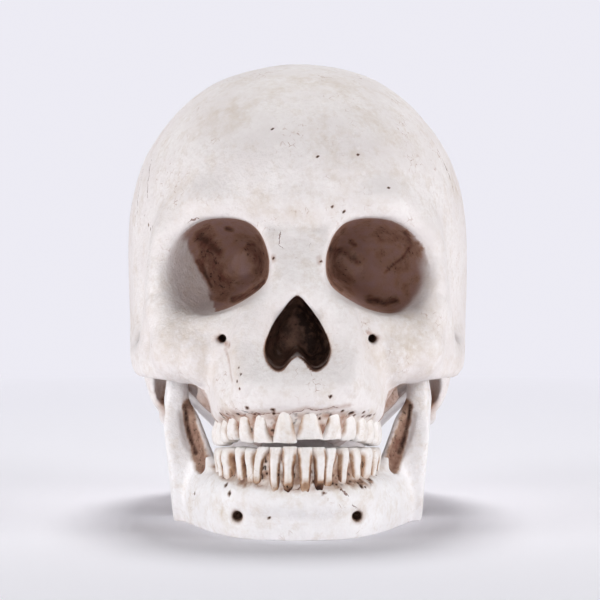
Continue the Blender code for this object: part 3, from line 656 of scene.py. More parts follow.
def bore(bm, place, radius):
    """A round hole in the front, with an eased end."""
    size = Vector((radius * HOLE_WIDTH_SHARE, HOLE_DEPTH, radius * HOLE_WIDTH_SHARE))
    ball(bm, place - Vector((0, HOLE_DEPTH / 2, 0)), size)


def make_face_hollows():
    bm = bmesh.new()
    bore(bm, at(cheek_hole_shares), CHEEK_HOLE_RADIUS)
    loft(bm, [orbit_ring(*row) for row in smooth_between(orbit_shares, 4)])
    middle = NOSE_HEIGHT * NOSE_TAPER_SHARE
    loft(bm, [[Vector((x * size, back * HALF_LENGTH, NOSE_FLOOR_LEVEL + middle + z * size))
               for x, z in nose_outline(middle)] for back, size in nose_depth_shares])
    for place, radii in cranium_hollow_shares:
        lump(bm, place, radii)
    made = add_object("face_hollows", bm, guide=True)
    mirror(made)
    fuse(made, FINE_VOXEL, 2)
    return made


def ramus_place(level):
    """How far out the ramus stands at a level, and its half thickness there."""
    rows = ramus_place_shares
    for low, high in zip(rows, rows[1:]):
        if level <= high[0]:
            break
    t = min(1.0, max(0.0, (level - low[0]) / (high[0] - low[0])))
    return low[1] + (high[1] - low[1]) * t, low[2] + (high[2] - low[2]) * t


def ramus(bm, turn=0.0):
    """The rising plate and the joint head of one side, turned about the hinge."""
    axis = Vector((0, HINGE_SETBACK, HINGE_LEVEL))
    pose = Matrix.Translation(axis) @ Matrix.Rotation(turn, 4, "X") @ Matrix.Translation(-axis)
    rings = []
    for side in (-1, 1):
        ring = []
        for back, level in ramus_shares:
            place, half = ramus_place(level)
            place += RAMUS_SPLAY_SHARE * (back - ramus_shares[0][0])
            ring.append(pose @ at((place + side * half, back, level), LOWER_JAW))
        rings.append(ring)
    loft(bm, rings)
    ball(bm, Vector((CONDYLE_PLACE, HINGE_SETBACK, HINGE_LEVEL)),
         Vector((CONDYLE_WIDTH / 2, CONDYLE_RADIUS, CONDYLE_RADIUS)))


def make_jaw_sweep():
    """The room that the rami need in the skull base over the whole opening."""
    bm = bmesh.new()
    for turn_share in sweep_shares:
        ramus(bm, turn_share * JAW_OPENING)
    pocket = CONDYLE_RADIUS + CONDYLE_CLEARANCE
    start = CONDYLE_PLACE - CONDYLE_WIDTH / 2 - CONDYLE_CLEARANCE
    end = CONDYLE_PLACE + CONDYLE_WIDTH / 2 + PIN_HEAD_LENGTH + CONDYLE_CLEARANCE
    loft(bm, [[Vector((x, HINGE_SETBACK + math.cos(a) * pocket, HINGE_LEVEL + math.sin(a) * pocket))
               for a in (2 * math.pi * k / 32 for k in range(32))] for x in (start, end)])
    made = add_object("jaw_sweep", bm, guide=True)
    mirror(made)
    fuse(made, SKIN_VOXEL, 1)
    grow = made.modifiers.new("clearance", "DISPLACE")
    grow.strength = JAW_CLEARANCE
    grow.mid_level = 0
    return made


def arch_point(angle):
    """A point on the dental arch, at an angle from its front."""
    return Vector((ARCH_HALF_WIDTH * math.sin(angle),
                   ARCH_DEPTH * (1 - math.cos(angle)) - ARCH_FRONT, 0))


def bite_sink(place):
    """How far the bite drops from the front teeth back to a place on the arch."""
    return BITE_DROP * (place.y + ARCH_FRONT) / ARCH_DEPTH


def arch_wall(bm, low, high):
    """The bone between the roots of a row: a thin upright wall along the dental arch."""
    rings = []
    for i in range(-2, WALL_STEPS + 1):
        angle = math.pi / 2 * WALL_TURN_SHARE * i / WALL_STEPS
        middle = arch_point(angle)
        out = Vector((math.sin(angle) * ARCH_DEPTH, -math.cos(angle) * ARCH_HALF_WIDTH, 0)).normalized()
        rings.append([middle + out * side * WALL_HALF + Vector((0, 0, level - bite_sink(middle)))
                      for side, level in ((-1, low), (1, low), (1, high), (-1, high))])
    loft(bm, rings)


def make_cranium():
    bm = bmesh.new()
    stack(bm, vault_shares)
    stack(bm, maxilla_shares, UPPER_JAW, sides=48, squareness=2.2, rise=GUM_RISE_SHARE)
    for place, radii in cranium_lump_shares:
        lump(bm, place, radii)
    for stations in cranium_bar_shares:
        bar(bm, stations)
    arch_wall(bm, BITE_LEVEL + BITE_GAP / 2 + WALL_SETBACK, WALL_TOP_LEVEL)
    made = add_object("skull_casting", bm)
    mirror(made)
    fuse(made, SKIN_VOXEL, 16)
    hollows, sweep = make_face_hollows(), make_jaw_sweep()
    combine(made, hollows, "DIFFERENCE")
    combine(made, sweep, "DIFFERENCE")
    fuse(made, FINE_VOXEL, 3)
    settle(made, hollows, sweep)
    return made


def make_jaw():
    bm = bmesh.new()
    for stations in (jaw_body_shares, jaw_ridge_shares, jaw_inner_shares, jaw_web_shares):
        bar(bm, stations, LOWER_JAW)
    ramus(bm)
    arch_wall(bm, WALL_FOOT_LEVEL, BITE_LEVEL - BITE_GAP / 2 - WALL_SETBACK)
    made = add_object("jaw_casting", bm)
    mirror(made)
    fuse(made, FINE_VOXEL, 10)
    cut = bmesh.new()
    bar(cut, jaw_trough_shares, LOWER_JAW)
    bore(cut, at(chin_hole_shares, LOWER_JAW), CHIN_HOLE_RADIUS)
    trough = add_object("trough", cut, guide=True)
    mirror(trough)
    combine(made, trough, "DIFFERENCE")
    fuse(made, FINE_VOXEL, 4)
    settle(made, trough)
    return made


class Skin:
    """The points of a fine mesh, moved and painted by fields of their place."""

    def __init__(self, target):
        self.target = target
        mesh = target.data
        self.co = np.empty(len(mesh.vertices) * 3, np.float32)
        mesh.vertices.foreach_get("co", self.co)
        self.co = self.co.reshape(-1, 3).astype(float)
        edges = np.empty(len(mesh.edges) * 2, np.int32)
        mesh.edges.foreach_get("vertices", edges)
        self.edges = edges.reshape(-1, 2)
        self.count = len(self.co)
        self.links = np.maximum(1, np.bincount(self.edges.ravel(), minlength=self.count))
        self.refresh()
        self.layers = {name: np.zeros(self.count) for name in ("haze", "wash", "stain", "pit")}

    def refresh(self):
        """Write the points back and take fresh normals."""
        mesh = self.target.data
        mesh.vertices.foreach_set("co", self.co.astype(np.float32).ravel())
        mesh.update()
        normal = np.empty(self.count * 3, np.float32)
        mesh.vertices.foreach_get("normal", normal)
        self.normal = normal.reshape(-1, 3).astype(float)

    def mean(self, values):
        """The mean of each point's neighbours, for one value or three."""
        values = np.asarray(values, float)
        flat = values.reshape(self.count, -1)
        a, b = self.edges.T
        total = np.stack([np.bincount(a, flat[b, i], self.count)
                          + np.bincount(b, flat[a, i], self.count)
                          for i in range(flat.shape[1])], -1)
        return (total / self.links[:, None]).reshape(values.shape)

    def blur(self, values, rounds):
        for _ in range(rounds):
            values = 0.5 * values + 0.5 * self.mean(values)
        return values

    def cavity(self, rounds):
        """How far the surface lies below its smoothed self, in metres: positive in hollows."""
        smooth = self.blur(self.co, rounds)
        return ((smooth - self.co) * self.normal).sum(1)

    def near(self, place, radii):
        """A soft weight of 1 at a place, falling off over its radii."""
        off = (self.co - np.asarray(place)) / np.asarray(radii)
        return np.exp(-(off ** 2).sum(1))

    def paint(self, layer, amount):
        self.layers[layer] = np.clip(np.maximum(self.layers[layer], amount), 0, 1)

    def finish(self):
        self.co = np.clip(self.co, *np.array(cad_box))
        self.refresh()
        for name, values in self.layers.items():
            layer = self.target.data.attributes.new(name, "FLOAT", "POINT")
            layer.data.foreach_set("value", values.astype(np.float32))
        self.target.data.shade_smooth()


def lattice_noise(points, size, seed):
    """Smooth noise between -1 and 1 whose bumps are about size across."""
    spot = points / size + seed * 17.3
    cell = np.floor(spot).astype(np.int64)
    part = spot - cell
    part = part * part * (3 - 2 * part)
    total = np.zeros(len(points))
    for corner in range(8):
        step = np.array([(corner >> i) & 1 for i in range(3)])
        i, j, k = (cell + step).T
        mixed = (i * 73856093) ^ (j * 19349663) ^ (k * 83492791) ^ (seed * 2654435761)
        mixed = ((mixed & 0xFFFFFFFF) ^ ((mixed & 0xFFFFFFFF) >> 13)) * 1274126177 & 0xFFFFFFFF
        value = ((mixed >> 8) & 0xFFFF) / 32767.5 - 1
        weight = np.prod(np.where(step, part, 1 - part), axis=1)
        total += value * weight
    return total


def rough(points, size, seed):
    """Noise of several sizes, each half the one before."""
    shares = [0.5 ** i for i in range(NOISE_OCTAVES)]
    return sum(lattice_noise(points, size * share, seed + i) * share
               for i, share in enumerate(shares)) / sum(shares)


def ramp(values, low, high):
    t = np.clip((values - low) / (high - low), 0, 1)
    return t * t * (3 - 2 * t)


def off_path(points, path):
    """Distance of points from a path of straight pieces, less than zero on its right."""
    best = np.full(len(points), np.inf)
    signed = np.full(len(points), np.inf)
    for start, end in zip(np.array(path)[:-1], np.array(path)[1:]):
        way = end - start
        if not way.any():
            continue
        along = np.clip(((points - start) @ way) / (way @ way), 0, 1)
        off = points - start - along[:, None] * way
        reach = np.linalg.norm(off, axis=1)
        turn = np.sign(way[0] * off[:, -1] - way[-1] * off[:, 0])
        nearer = reach < best
        best = np.where(nearer, reach, best)
        signed = np.where(nearer, reach * turn, signed)
    return signed


def reach_in(x, z, outline):
    """How far a point lies toward an outline round zero: 1 on it, less inside."""
    outline = np.array(outline)
    turns = np.arctan2(outline[:, 1], outline[:, 0])
    order = np.argsort(turns)
    edge = np.interp(np.arctan2(z, x), turns[order], np.hypot(*outline.T)[order], period=2 * math.pi)
    return np.hypot(x, z) / edge


def inside_orbit(co):
    """How deep a point lies behind the rim of an eye socket, in metres."""
    x = np.abs(co[:, 0]) - ORBIT_SPACING / 2
    z = co[:, 2] - ORBIT_LEVEL
    reach = reach_in(2 * x / ORBIT_WIDTH, 2 * z / ORBIT_HEIGHT, closed_curve(orbit_outline_shares, 4))
    rim = ORBIT_RIM_FRONT + ORBIT_RIM_SLOPE * ramp(x, *ORBIT_RIM_FADE)
    return np.where((reach < ORBIT_EDGE_SHARE) & (co[:, 1] < ORBIT_END), co[:, 1] - rim, -1.0)


def inside_nose(co):
    """A weight of 1 inside the nose opening."""
    middle = NOSE_MIDDLE_SHARE * NOSE_HEIGHT
    reach = reach_in(co[:, 0], co[:, 2] - NOSE_FLOOR_LEVEL - middle, nose_outline(middle))
    return (1 - ramp(reach, *nose_edge_shares)) * (co[:, 1] < NOSE_END)


def lay_on(skin, path, limit):
    """Places across and up laid on the front of the surface, without those that miss it."""
    front = skin.co[(skin.co[:, 1] < limit) & (skin.normal[:, 1] < 0)]
    laid = []
    for x, z in path:
        off = np.hypot(front[:, 0] - x, front[:, 2] - z)
        near = off < LAY_REACH
        if near.any():
            outer = near & (front[:, 1] < front[near, 1].min() + LAY_DEPTH)
            laid.append(front[outer][np.argmin(off[outer])])
    return laid


def paint_front(skin, layer, rows):
    """Paint marks given by strength, half width and path across and up, with ragged edges."""
    grain = rough(skin.co, RAGGED_SIZE, 81)
    for strength, reach, path in rows:
        laid = lay_on(skin, path, MARK_LIMIT)
        if len(laid) > 1:
            off = np.abs(off_path(skin.co, laid)) * (1 + 0.45 * grain) + grain * 0.0003
            skin.paint(layer, strength * np.exp(-(off / reach) ** 2) * (0.85 + 0.5 * grain))


def paint_cracks(skin, cracks, limit):
    """Keep for each point its signed distance from the nearest crack, so that lines stay thin."""
    nearest = np.full(skin.count, CRACK_REACH)
    for path in cracks:
        laid = lay_on(skin, smooth_between(path, 3), limit)
        if len(laid) > 1:
            off = off_path(skin.co, laid)
            nearest = np.where(np.abs(off) < np.abs(nearest), off, nearest)
    skin.layers["crack_side"] = nearest
    skin.layers["crack"] = 1 - ramp(np.abs(nearest), CRACK_REACH / 2, CRACK_REACH)


def press_pits(skin, pits):
    """Dent and blacken ragged pits of the front, given by place across and up and radius."""
    grain = rough(skin.co, PIT_GRAIN_SIZE, 83)
    for x, z, radius in pits:
        laid = lay_on(skin, ((x, z),), PIT_LIMIT)
        if not laid:
            continue
        off = np.linalg.norm(skin.co - laid[0], axis=1) / radius * (1 + PIT_RAGGEDNESS * grain)
        weight = np.exp(-off ** 2 * PIT_STEEPNESS)
        skin.co = skin.co - skin.normal * (weight * radius * PIT_DEPTH_SHARE)[:, None]
        for layer, strength in pit_layers:
            skin.paint(layer, weight * strength)


def along_arch(co):
    """A weight of 1 on the bone that carries the teeth, seen from outside."""
    return ramp(-co[:, 1], *ARCH_BACK_FADE) * (1 - ramp(np.abs(co[:, 0]), *ARCH_SIDE_FADE))


def arch_place(distance):
    """Point and turn on the dental arch at a distance along it from the middle."""
    before = arch_point(0)
    for i in range(1, ARCH_STEPS + 1):
        point = arch_point(math.pi / 2 * ARCH_TURN_SHARE * i / ARCH_STEPS)
        step = point - before
        if distance <= step.length:
            break
        distance -= step.length
        before = point
    return point, math.atan2(step.y, step.x)


def gap_pits(row, seed):
    """Small holes in the bone between the teeth of a row."""
    chance = np.random.default_rng(seed)
    pits = []
    for _, side in SIDES:
        distance = TOOTH_GAP / 2
        for share in tooth_rows[row]["widths"][:-1]:
            distance += share * tooth_rows[row]["size"] + TOOTH_GAP
            place, _ = arch_place(distance - TOOTH_GAP / 2)
            for level in gap_pit_levels[row]:
                if chance.random() < PIT_CHANCE:
                    middle = np.array((side * place.x, level - bite_sink(place)))
                    x, z = middle + chance.normal(0, PIT_SCATTER, 2)
                    pits.append((x, z, chance.uniform(PIT_SMALL, PIT_LARGE)))
    return tuple(pits)


def ease(skin, place, radii, rounds):
    """Smooth the surface about a place."""
    weight = np.minimum(1, EASE_GAIN * skin.near(place, radii))
    skin.co = skin.co + (skin.blur(skin.co, rounds) - skin.co) * weight[:, None]


def roughen(skin, relief):
    """Raise and sink the surface by noise of several sizes."""
    rise = sum(rough(skin.co, size, seed) * height for size, seed, height in relief)
    skin.co = skin.co + skin.normal * rise[:, None]


def paint_orbits(skin, blotch, fine):
    """Mauve and brown in the eye sockets, but for the pale outer wall of the left one."""
    co = skin.co
    across = co[:, [0, 2]]
    deep = inside_orbit(co)
    wall = off_path(across, pale_wall_edge) + blotch * 0.0016 + fine * 0.0008
    top = ramp(co[:, 2] + blotch * 0.002, *PALE_TOP_FADE)
    pale = ramp(wall, *PALE_WALL_FADE) * (1 - top) * (co[:, 0] < 0)
    soft = ramp(deep + blotch * 0.003, *ORBIT_DEPTH_FADE) * (1 - pale)
    flat = co * np.array((1, 0.15, 1))
    tone = 0.34 + 0.34 * rough(flat, BLOTCH_SIZE, 25) + 0.4 * rough(flat, FINE_SIZE, 27)
    skin.paint("haze", 0.95 * soft)
    skin.paint("wash", soft * tone)
    inner = (deep > ORBIT_DEPTH_FADE[0]) * (1 - pale)
    grain = rough(flat, GRAIN_SIZE, 29)
    for strength, reach, path in orbit_marks:
        off = np.abs(off_path(across, path)) + (grain + blotch) * reach * 0.6
        mark = inner * strength * np.exp(-(off / reach) ** 2)
        skin.paint("wash", 1.05 * mark)
        skin.paint("pit", (strength > 0.82) * mark * np.clip(0.35 + 0.9 * grain, 0, 0.8))


def paint_nose(skin, fine):
    """Brown inside the nose opening, darkest along its two lobes."""
    nose = inside_nose(skin.co)
    skin.paint("wash", nose * (0.72 + 0.4 * fine))
    for side, strength, reach in nose_darks:
        off = off_path(skin.co[:, [0, 2]] * np.array((side, 1)), nose_dark_path)
        skin.paint("pit", nose * strength * np.exp(-(off / reach) ** 2))


def paint_base(skin, blotch):
    """Brown wash with painted shade in the space within the jaw, and painted shade in the recess behind
    each jaw joint.
    """
    co = skin.co
    reach = np.hypot(co[:, 0] / BASE_HALF_WIDTH, (co[:, 1] - BASE_MIDDLE) / BASE_HALF_LENGTH)
    inside = (reach < 1) & (co[:, 2] < BASE_LEVEL)
    streak = rough(co * np.array((1, 1, 0.25)), STREAK_SIZE, 61)
    # painted shade mixed with brown wash on the skull base under the cheeks
    skin.paint("wash", inside * (0.34 + 0.22 * streak + 0.12 * blotch))
    facing = skin.normal[:, 1] < 0.2
    # painted shade, brown to near black, in the recess behind each jaw joint
    for side in (-1, 1):
        for layer, strength, (x, y, z), radii in joint_painted_shade:
            skin.paint(layer, strength * facing * skin.near((side * x, y, z), radii))


def paint_slot(skin, fine):
    """Brown in the slot between the last molar and the ramus, darkest along its outer edge."""
    co = skin.co
    across = np.abs(co[:, [0, 2]])
    facing = (co[:, 1] > SLOT_FRONT) & (skin.normal[:, 1] < 0.5)
    slot = np.abs(off_path(across, slot_path)) + fine * 0.0007
    wide = SLOT_HALF + SLOT_WIDENING * (1 - ramp(co[:, 2], *SLOT_LEVEL_FADE))
    tone = 0.78 + 0.3 * rough(co, STREAK_SIZE, 35)
    skin.paint("wash", facing * tone * (1 - ramp(slot, wide * 0.5, wide * 1.6)))
    outer = np.abs(off_path(across, slot_dark_path)) + fine * 0.0005
    for layer, strength, fade in slot_edges:
        skin.paint(layer, facing * strength * (1 - ramp(outer, *fade)))


def paint_hollows(skin, fine):
    """Brown where the surface lies below its smoothed self."""
    skin.paint("wash", ramp(skin.cavity(CAVITY_ROUNDS) + fine * 0.0001, *CAVITY_FADE) * 0.5)


def paint_holes(skin, place, rows):
    """Blacken the nerve hole of each side and brown its edge."""
    for side in (-1, 1):
        for layer, strength, radii in rows:
            skin.paint(layer, strength * skin.near((side * place.x, place.y, place.z), radii))


def paint_gums(skin, fine, arch, seams, tan, brown, seed):
    """Tan, brown and specks on the bone that carries the teeth."""
    skin.paint("stain", arch * (tan + 0.4 * fine))
    skin.paint("wash", seams * (brown + 0.75 * fine))
    skin.paint("pit", seams * 0.9 * ramp(rough(skin.co, SPECK_SIZE, seed), 0.25, 0.5))


def paint_marks(skin, crack_limit):
    """The listed marks that both castings share."""
    paint_front(skin, "wash", bone_washes)
    paint_front(skin, "stain", bone_tan_marks)
    paint_cracks(skin, bone_cracks, crack_limit)


def paint_patches(skin, fine, size, seed, start, strength):
    """Broad tan patches."""
    skin.paint("stain", ramp(rough(skin.co, size, seed) + 0.3 * fine, start, 0.8) * strength)


def dress_cranium(skin):
    ease(skin, *bridge_easing)
    for side in (-1, 1):
        for (x, y, z), radii, rounds in side_easings:
            ease(skin, (side * x, y, z), radii, rounds)
    roughen(skin, cranium_relief)
    skin.refresh()
    press_pits(skin, bone_pits + gap_pits("upper", 71))
    co = skin.co
    blotch = rough(co, BLOTCH_SIZE, 21)
    fine = rough(co, FINE_SIZE, 31)
    paint_orbits(skin, blotch, fine)
    paint_nose(skin, fine)
    paint_hollows(skin, fine)
    paint_base(skin, blotch)
    paint_holes(skin, at(cheek_hole_shares), cheek_hole_marks)
    arch = along_arch(co) * (1 - ramp(co[:, 2] + fine * 0.002, *UPPER_ARCH_FADE))
    seams = arch * (1 - 0.7 * ramp(co[:, 0], *CLEAN_SIDE_FADE))
    paint_gums(skin, fine, arch, seams, 0.75, 0.34, 85)
    paint_marks(skin, VAULT_CRACK_LIMIT)
    paint_patches(skin, fine, CRANIUM_PATCH_SIZE, 41, 0.05, 0.8)
    skin.finish()


def dress_jaw(skin):
    roughen(skin, jaw_relief)
    press_pits(skin, bone_pits + gap_pits("lower", 75))
    skin.co[:, 2] = np.maximum(skin.co[:, 2], 0)
    skin.refresh()
    co = skin.co
    fine = rough(co, FINE_SIZE, 33)
    blotch = rough(co, BLOTCH_SIZE, 23)
    paint_hollows(skin, fine)
    paint_slot(skin, fine)
    arch = along_arch(co) * ramp(co[:, 2] + fine * 0.002, *LOWER_ARCH_FADE)
    paint_gums(skin, fine, arch, arch, 0.85, 0.5, 87)
    paint_holes(skin, at(chin_hole_shares, LOWER_JAW), chin_hole_marks)
    inner = (skin.normal[:, 1] > 0.3) & (co[:, 2] < INNER_JAW_TOP) & (co[:, 1] < INNER_JAW_BACK)
    skin.paint("wash", inner * (0.22 + 0.2 * blotch))
    paint_marks(skin, MARK_LIMIT)
    paint_patches(skin, fine, JAW_PATCH_SIZE, 43, 0.1, 0.7)
    skin.finish()


# Rings of a tooth from root end to biting edge: length, width, depth
tooth_ring_shares = {
    "incisor": ((0.0, 0.56, 0.52), (0.3, 0.66, 0.8), (0.48, 0.76, 0.92),
                (0.72, 0.96, 0.9), (0.93, 1.12, 0.56), (1.0, 1.09, 0.36)),
    "canine": ((0.0, 0.56, 0.54), (0.3, 0.68, 0.84), (0.48, 0.8, 0.98),
               (0.72, 0.98, 1.0), (0.92, 1.08, 0.66), (1.0, 0.9, 0.4)),
    "premolar": ((0.0, 0.56, 0.6), (0.3, 0.74, 0.84), (0.48, 0.88, 1.04),
                 (0.72, 1.06, 1.22), (0.92, 1.06, 1.06), (1.0, 0.84, 0.8)),
    "molar": ((0.0, 0.66, 0.66), (0.3, 0.84, 0.92), (0.48, 0.96, 1.14),
              (0.72, 1.06, 1.34), (0.93, 1.04, 1.22), (1.0, 0.84, 0.98)),
}
# Lower teeth keep their width far down their bare roots
picket_ring_shares = {
    "incisor": ((0.0, 0.62, 0.6), (0.14, 0.88, 0.86), (0.55, 0.98, 0.92),
                (0.78, 1.08, 0.84), (0.95, 1.12, 0.5), (1.0, 1.0, 0.32)),
    "canine": ((0.0, 0.62, 0.6), (0.14, 0.9, 0.9), (0.55, 1.0, 0.98),
               (0.78, 1.08, 0.98), (0.95, 1.06, 0.6), (1.0, 0.86, 0.36)),
    "premolar": ((0.0, 0.64, 0.66), (0.14, 0.92, 0.9), (0.55, 1.0, 1.02),
                 (0.78, 1.08, 1.16), (0.94, 1.04, 1.02), (1.0, 0.84, 0.8)),
    "molar": ((0.0, 0.7, 0.7), (0.14, 0.92, 0.96), (0.5, 1.0, 1.12),
              (0.76, 1.06, 1.3), (0.94, 1.0, 1.2), (1.0, 0.8, 0.98)),
}
FRONT_KINDS = ("incisor", "incisor", "canine", "premolar", "premolar")
# Each row: its kinds of teeth, the width of a front tooth, the widths as shares of it, the rings, how
# far the teeth lean, stand back and fill their width, and where the brown of their flanks begins
tooth_rows = {
    "upper": {"kinds": FRONT_KINDS + ("molar",) * 2, "size": 0.0083, "widths": upper_width_shares,
              "forms": tooth_ring_shares, "lean": 0.05, "setback": 0.0018, "fullness": 1.04,
              "flank_share": 0.56},
    "lower": {"kinds": FRONT_KINDS + ("molar",) * 3, "size": 0.0044, "widths": lower_width_shares,
              "forms": picket_ring_shares, "lean": 0.11, "setback": 0.0005, "fullness": 1.1,
              "flank_share": 0.38},
}
TOOTH_SIDES = 32
TOOTH_ROUNDNESS = 0.85
BULGE_SPREAD = 0.06
WIDTH_SPREAD = 0.04
ROOT_SPREAD = 0.0006
FLUTE_DEPTH = 0.00016
FLUTE_TURNS = 14
FLANK_FADE_SHARE = 0.38
TOOTH_RELIEF = 0.00028


def make_tooth(name, row, kind, side, width, place, turn, root, tip, seed, seam):
    """One tooth of oval rings, with a worn edge, fine flutes and brown on its flanks."""
    chance = np.random.default_rng(seed)
    lean = chance.normal(0, row["lean"])
    bulge = 1 + chance.normal(0, BULGE_SPREAD)
    width *= row["fullness"] + chance.normal(0, WIDTH_SPREAD)
    root += chance.normal(0, ROOT_SPREAD)
    spot = Vector((side * place.x, place.y, 0))
    pose = Matrix.Translation(spot) @ Matrix.Rotation(side * turn, 4, "Z")
    rings, washes = [], []
    for along, wide, deep in smooth_between(row["forms"][kind], 6):
        level = root + (tip - root) * along
        ring = []
        for i in range(TOOTH_SIDES):
            angle = 2 * math.pi * (i + 0.5) / TOOTH_SIDES
            x = power(math.cos(angle), TOOTH_ROUNDNESS) * width * wide / 2
            y = power(math.sin(angle), TOOTH_ROUNDNESS) * TOOTH_DEPTH * deep * bulge / 2
            flute = FLUTE_DEPTH * math.sin(x / width * FLUTE_TURNS + seed)
            x += lean * (level - tip) * (0.5 + along)
            ring.append(pose @ Vector((x, y - flute + row["setback"] * (1 - along) ** 2, level)))
            flank = (abs(math.cos(angle)) - row["flank_share"]) / FLANK_FADE_SHARE
            washes.append(min(1.0, max(0.0, flank)) * max(0.0, 1 - along ** 5))
        rings.append(ring)
    bm = bmesh.new()
    loft(bm, rings)
    made = add_object(name, bm)
    skin = Skin(made)
    roughen(skin, ((STREAK_SIZE, seed, TOOTH_RELIEF),))
    blotch = rough(skin.co, FINE_SIZE, seed + 5)
    skin.paint("wash", np.array(washes) * (0.8 + 0.9 * blotch) * seam)
    neck = ramp(skin.co[:, 2], tip, root) if root > tip else ramp(-skin.co[:, 2], -tip, -root)
    skin.paint("stain", neck * (0.35 + 0.6 * blotch))
    skin.paint("wash", ramp(neck, 0.62, 1.0) * (0.62 + 0.7 * blotch) * seam)
    skin.paint("pit", ramp(neck, 0.8, 1.0) * ramp(blotch, 0.0, 0.5) * 0.9 * seam)
    skin.paint("stain", 0.12 + 0.6 * blotch)
    skin.finish()
    return made


def make_teeth(row_name, body, look):
    row = tooth_rows[row_name]
    for side_name, side in SIDES:
        distance = TOOTH_GAP / 2
        for number, (kind, share, lift, seam) in enumerate(zip(
                row["kinds"], row["widths"], bite_lifts[row_name, side_name],
                seam_strengths[row_name, side_name]), 1):
            width = share * row["size"]
            place, turn = arch_place(distance + width / 2)
            level = BITE_LEVEL - bite_sink(place)
            if row_name == "upper":
                tip = level + BITE_GAP / 2 + lift
                root = tip + UPPER_TOOTH_LENGTH - lift
            else:
                tip = level - BITE_GAP / 2 - lift
                root = LOWER_ROOT_LEVEL
            node = f"{row_name}_{side_name}_{number}_{kind}"
            seed = number + 10 * (side > 0) + 20 * (row_name == "upper")
            tooth = make_tooth(f"{node}_worn", row, kind, side, width, place, turn, root, tip, seed, seam)
            cover(tooth, look)
            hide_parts(node)
            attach(tooth, body)
            distance += width + TOOTH_GAP


# Noise patterns of the resin: scale, detail, roughness, the range that counts and what it becomes
resin_patterns = {
    "cloud": (45.0, 4.0, 0.6, 0.35, 0.65, 0.0, 1.0),
    "mottle": (520.0, 5.0, 0.7, 0.4, 0.66, 0.0, 0.85),
    "bloom": (130.0, 6.0, 0.72, 0.5, 0.72, 0.0, 0.45),
    "grain": (420.0, 6.0, 0.7, 0.3, 0.7, 0.0, 1.0),
    "broken_stain": (190.0, 6.0, 0.7, 0.38, 0.66, 0.0, 1.0),
    "broken_wash": (230.0, 5.0, 0.6, 0.3, 0.7, 0.66, 1.18),
    "broken_pit": (330.0, 4.0, 0.6, 0.3, 0.62, 0.55, 1.3),
    "spots": (520.0, 6.0, 0.75, 0.56, 0.62, 0.0, 1.0),
    "crack_wander": (500.0, 4.0, 0.6, 0.3, 0.7, -0.0005, 0.0005),
    "crack_width": (240.0, 2.0, 0.6, 0.4, 0.62, 0.0, 0.00034),
    "broken_hairs": (420.0, 3.0, 0.6, 0.48, 0.6, 0.0, 1.0),
    "hair_patches": (55.0, 3.0, 0.6, 0.56, 0.66, 0.0, 0.75),
}
HAIR_SCALE = 330.0
MAUVE = (0.383, 0.231, 0.216)


class Tree:
    """A material's nodes, made and joined in short lines."""

    def __init__(self, name):
        self.look = bpy.data.materials.new(name)
        self.look.use_nodes = True
        self.nodes = self.look.node_tree.nodes
        self.shader = self.nodes["Principled BSDF"]

    def add(self, kind, **values):
        node = self.nodes.new(kind)
        for key, value in values.items():
            if key in ("operation", "data_type", "attribute_name", "feature"):
                setattr(node, key, value)
            else:
                node.inputs[key.replace("_", " ")].default_value = value
        return node

    def link(self, start, end):
        self.look.node_tree.links.new(start, end)

    def give(self, name, value):
        """Join a value to an input of the shader."""
        self.link(value, self.shader.inputs[name])

    def place(self):
        return self.nodes.new("ShaderNodeTexCoord").outputs["Object"]

    def noise(self, scale, detail, roughness):
        noise = self.add("ShaderNodeTexNoise", Scale=scale, Detail=detail, Roughness=roughness)
        self.link(self.place(), noise.inputs["Vector"])
        return noise.outputs["Fac"]

    def pattern(self, name):
        scale, detail, roughness, *limits = resin_patterns[name]
        return self.range(self.noise(scale, detail, roughness), *limits)

    def crackle(self):
        """Hair cracks that show in scattered patches only."""
        cells = self.add("ShaderNodeTexVoronoi", feature="DISTANCE_TO_EDGE", Scale=HAIR_SCALE)
        self.link(self.place(), cells.inputs["Vector"])
        line = self.range(cells.outputs["Distance"], 0.015, 0.05, 1.0, 0.0)
        line = self.maths("MULTIPLY", line, self.pattern("broken_hairs"))
        return self.maths("MULTIPLY", line, self.pattern("hair_patches"))

    def bump(self, height, strength, distance):
        node = self.add("ShaderNodeBump", Strength=strength, Distance=distance)
        self.link(height, node.inputs["Height"])
        self.give("Normal", node.outputs["Normal"])

    def range(self, value, low, high, start=0.0, end=1.0):
        node = self.add("ShaderNodeMapRange")
        for i, number in enumerate((low, high, start, end), 1):
            node.inputs[i].default_value = number
        self.link(value, node.inputs[0])
        return node.outputs[0]

    def maths(self, operation, a, b):
        node = self.add("ShaderNodeMath", operation=operation)
        for socket, value in zip(node.inputs, (a, b)):
            if isinstance(value, float):
                socket.default_value = value
            else:
                self.link(value, socket)
        return node.outputs[0]

    def layer(self, name):
        node = self.add("ShaderNodeAttribute", attribute_name=name)
        return node.outputs["Fac"]

    def mix(self, amount, low, high):
        node = self.add("ShaderNodeMix", data_type="RGBA")
        self.link(amount, node.inputs[0])
        for socket, value in ((node.inputs[6], low), (node.inputs[7], high)):
            if isinstance(value, tuple):
                socket.default_value = (*value, 1.0)
            else:
                self.link(value, socket)
        return node.outputs[2]


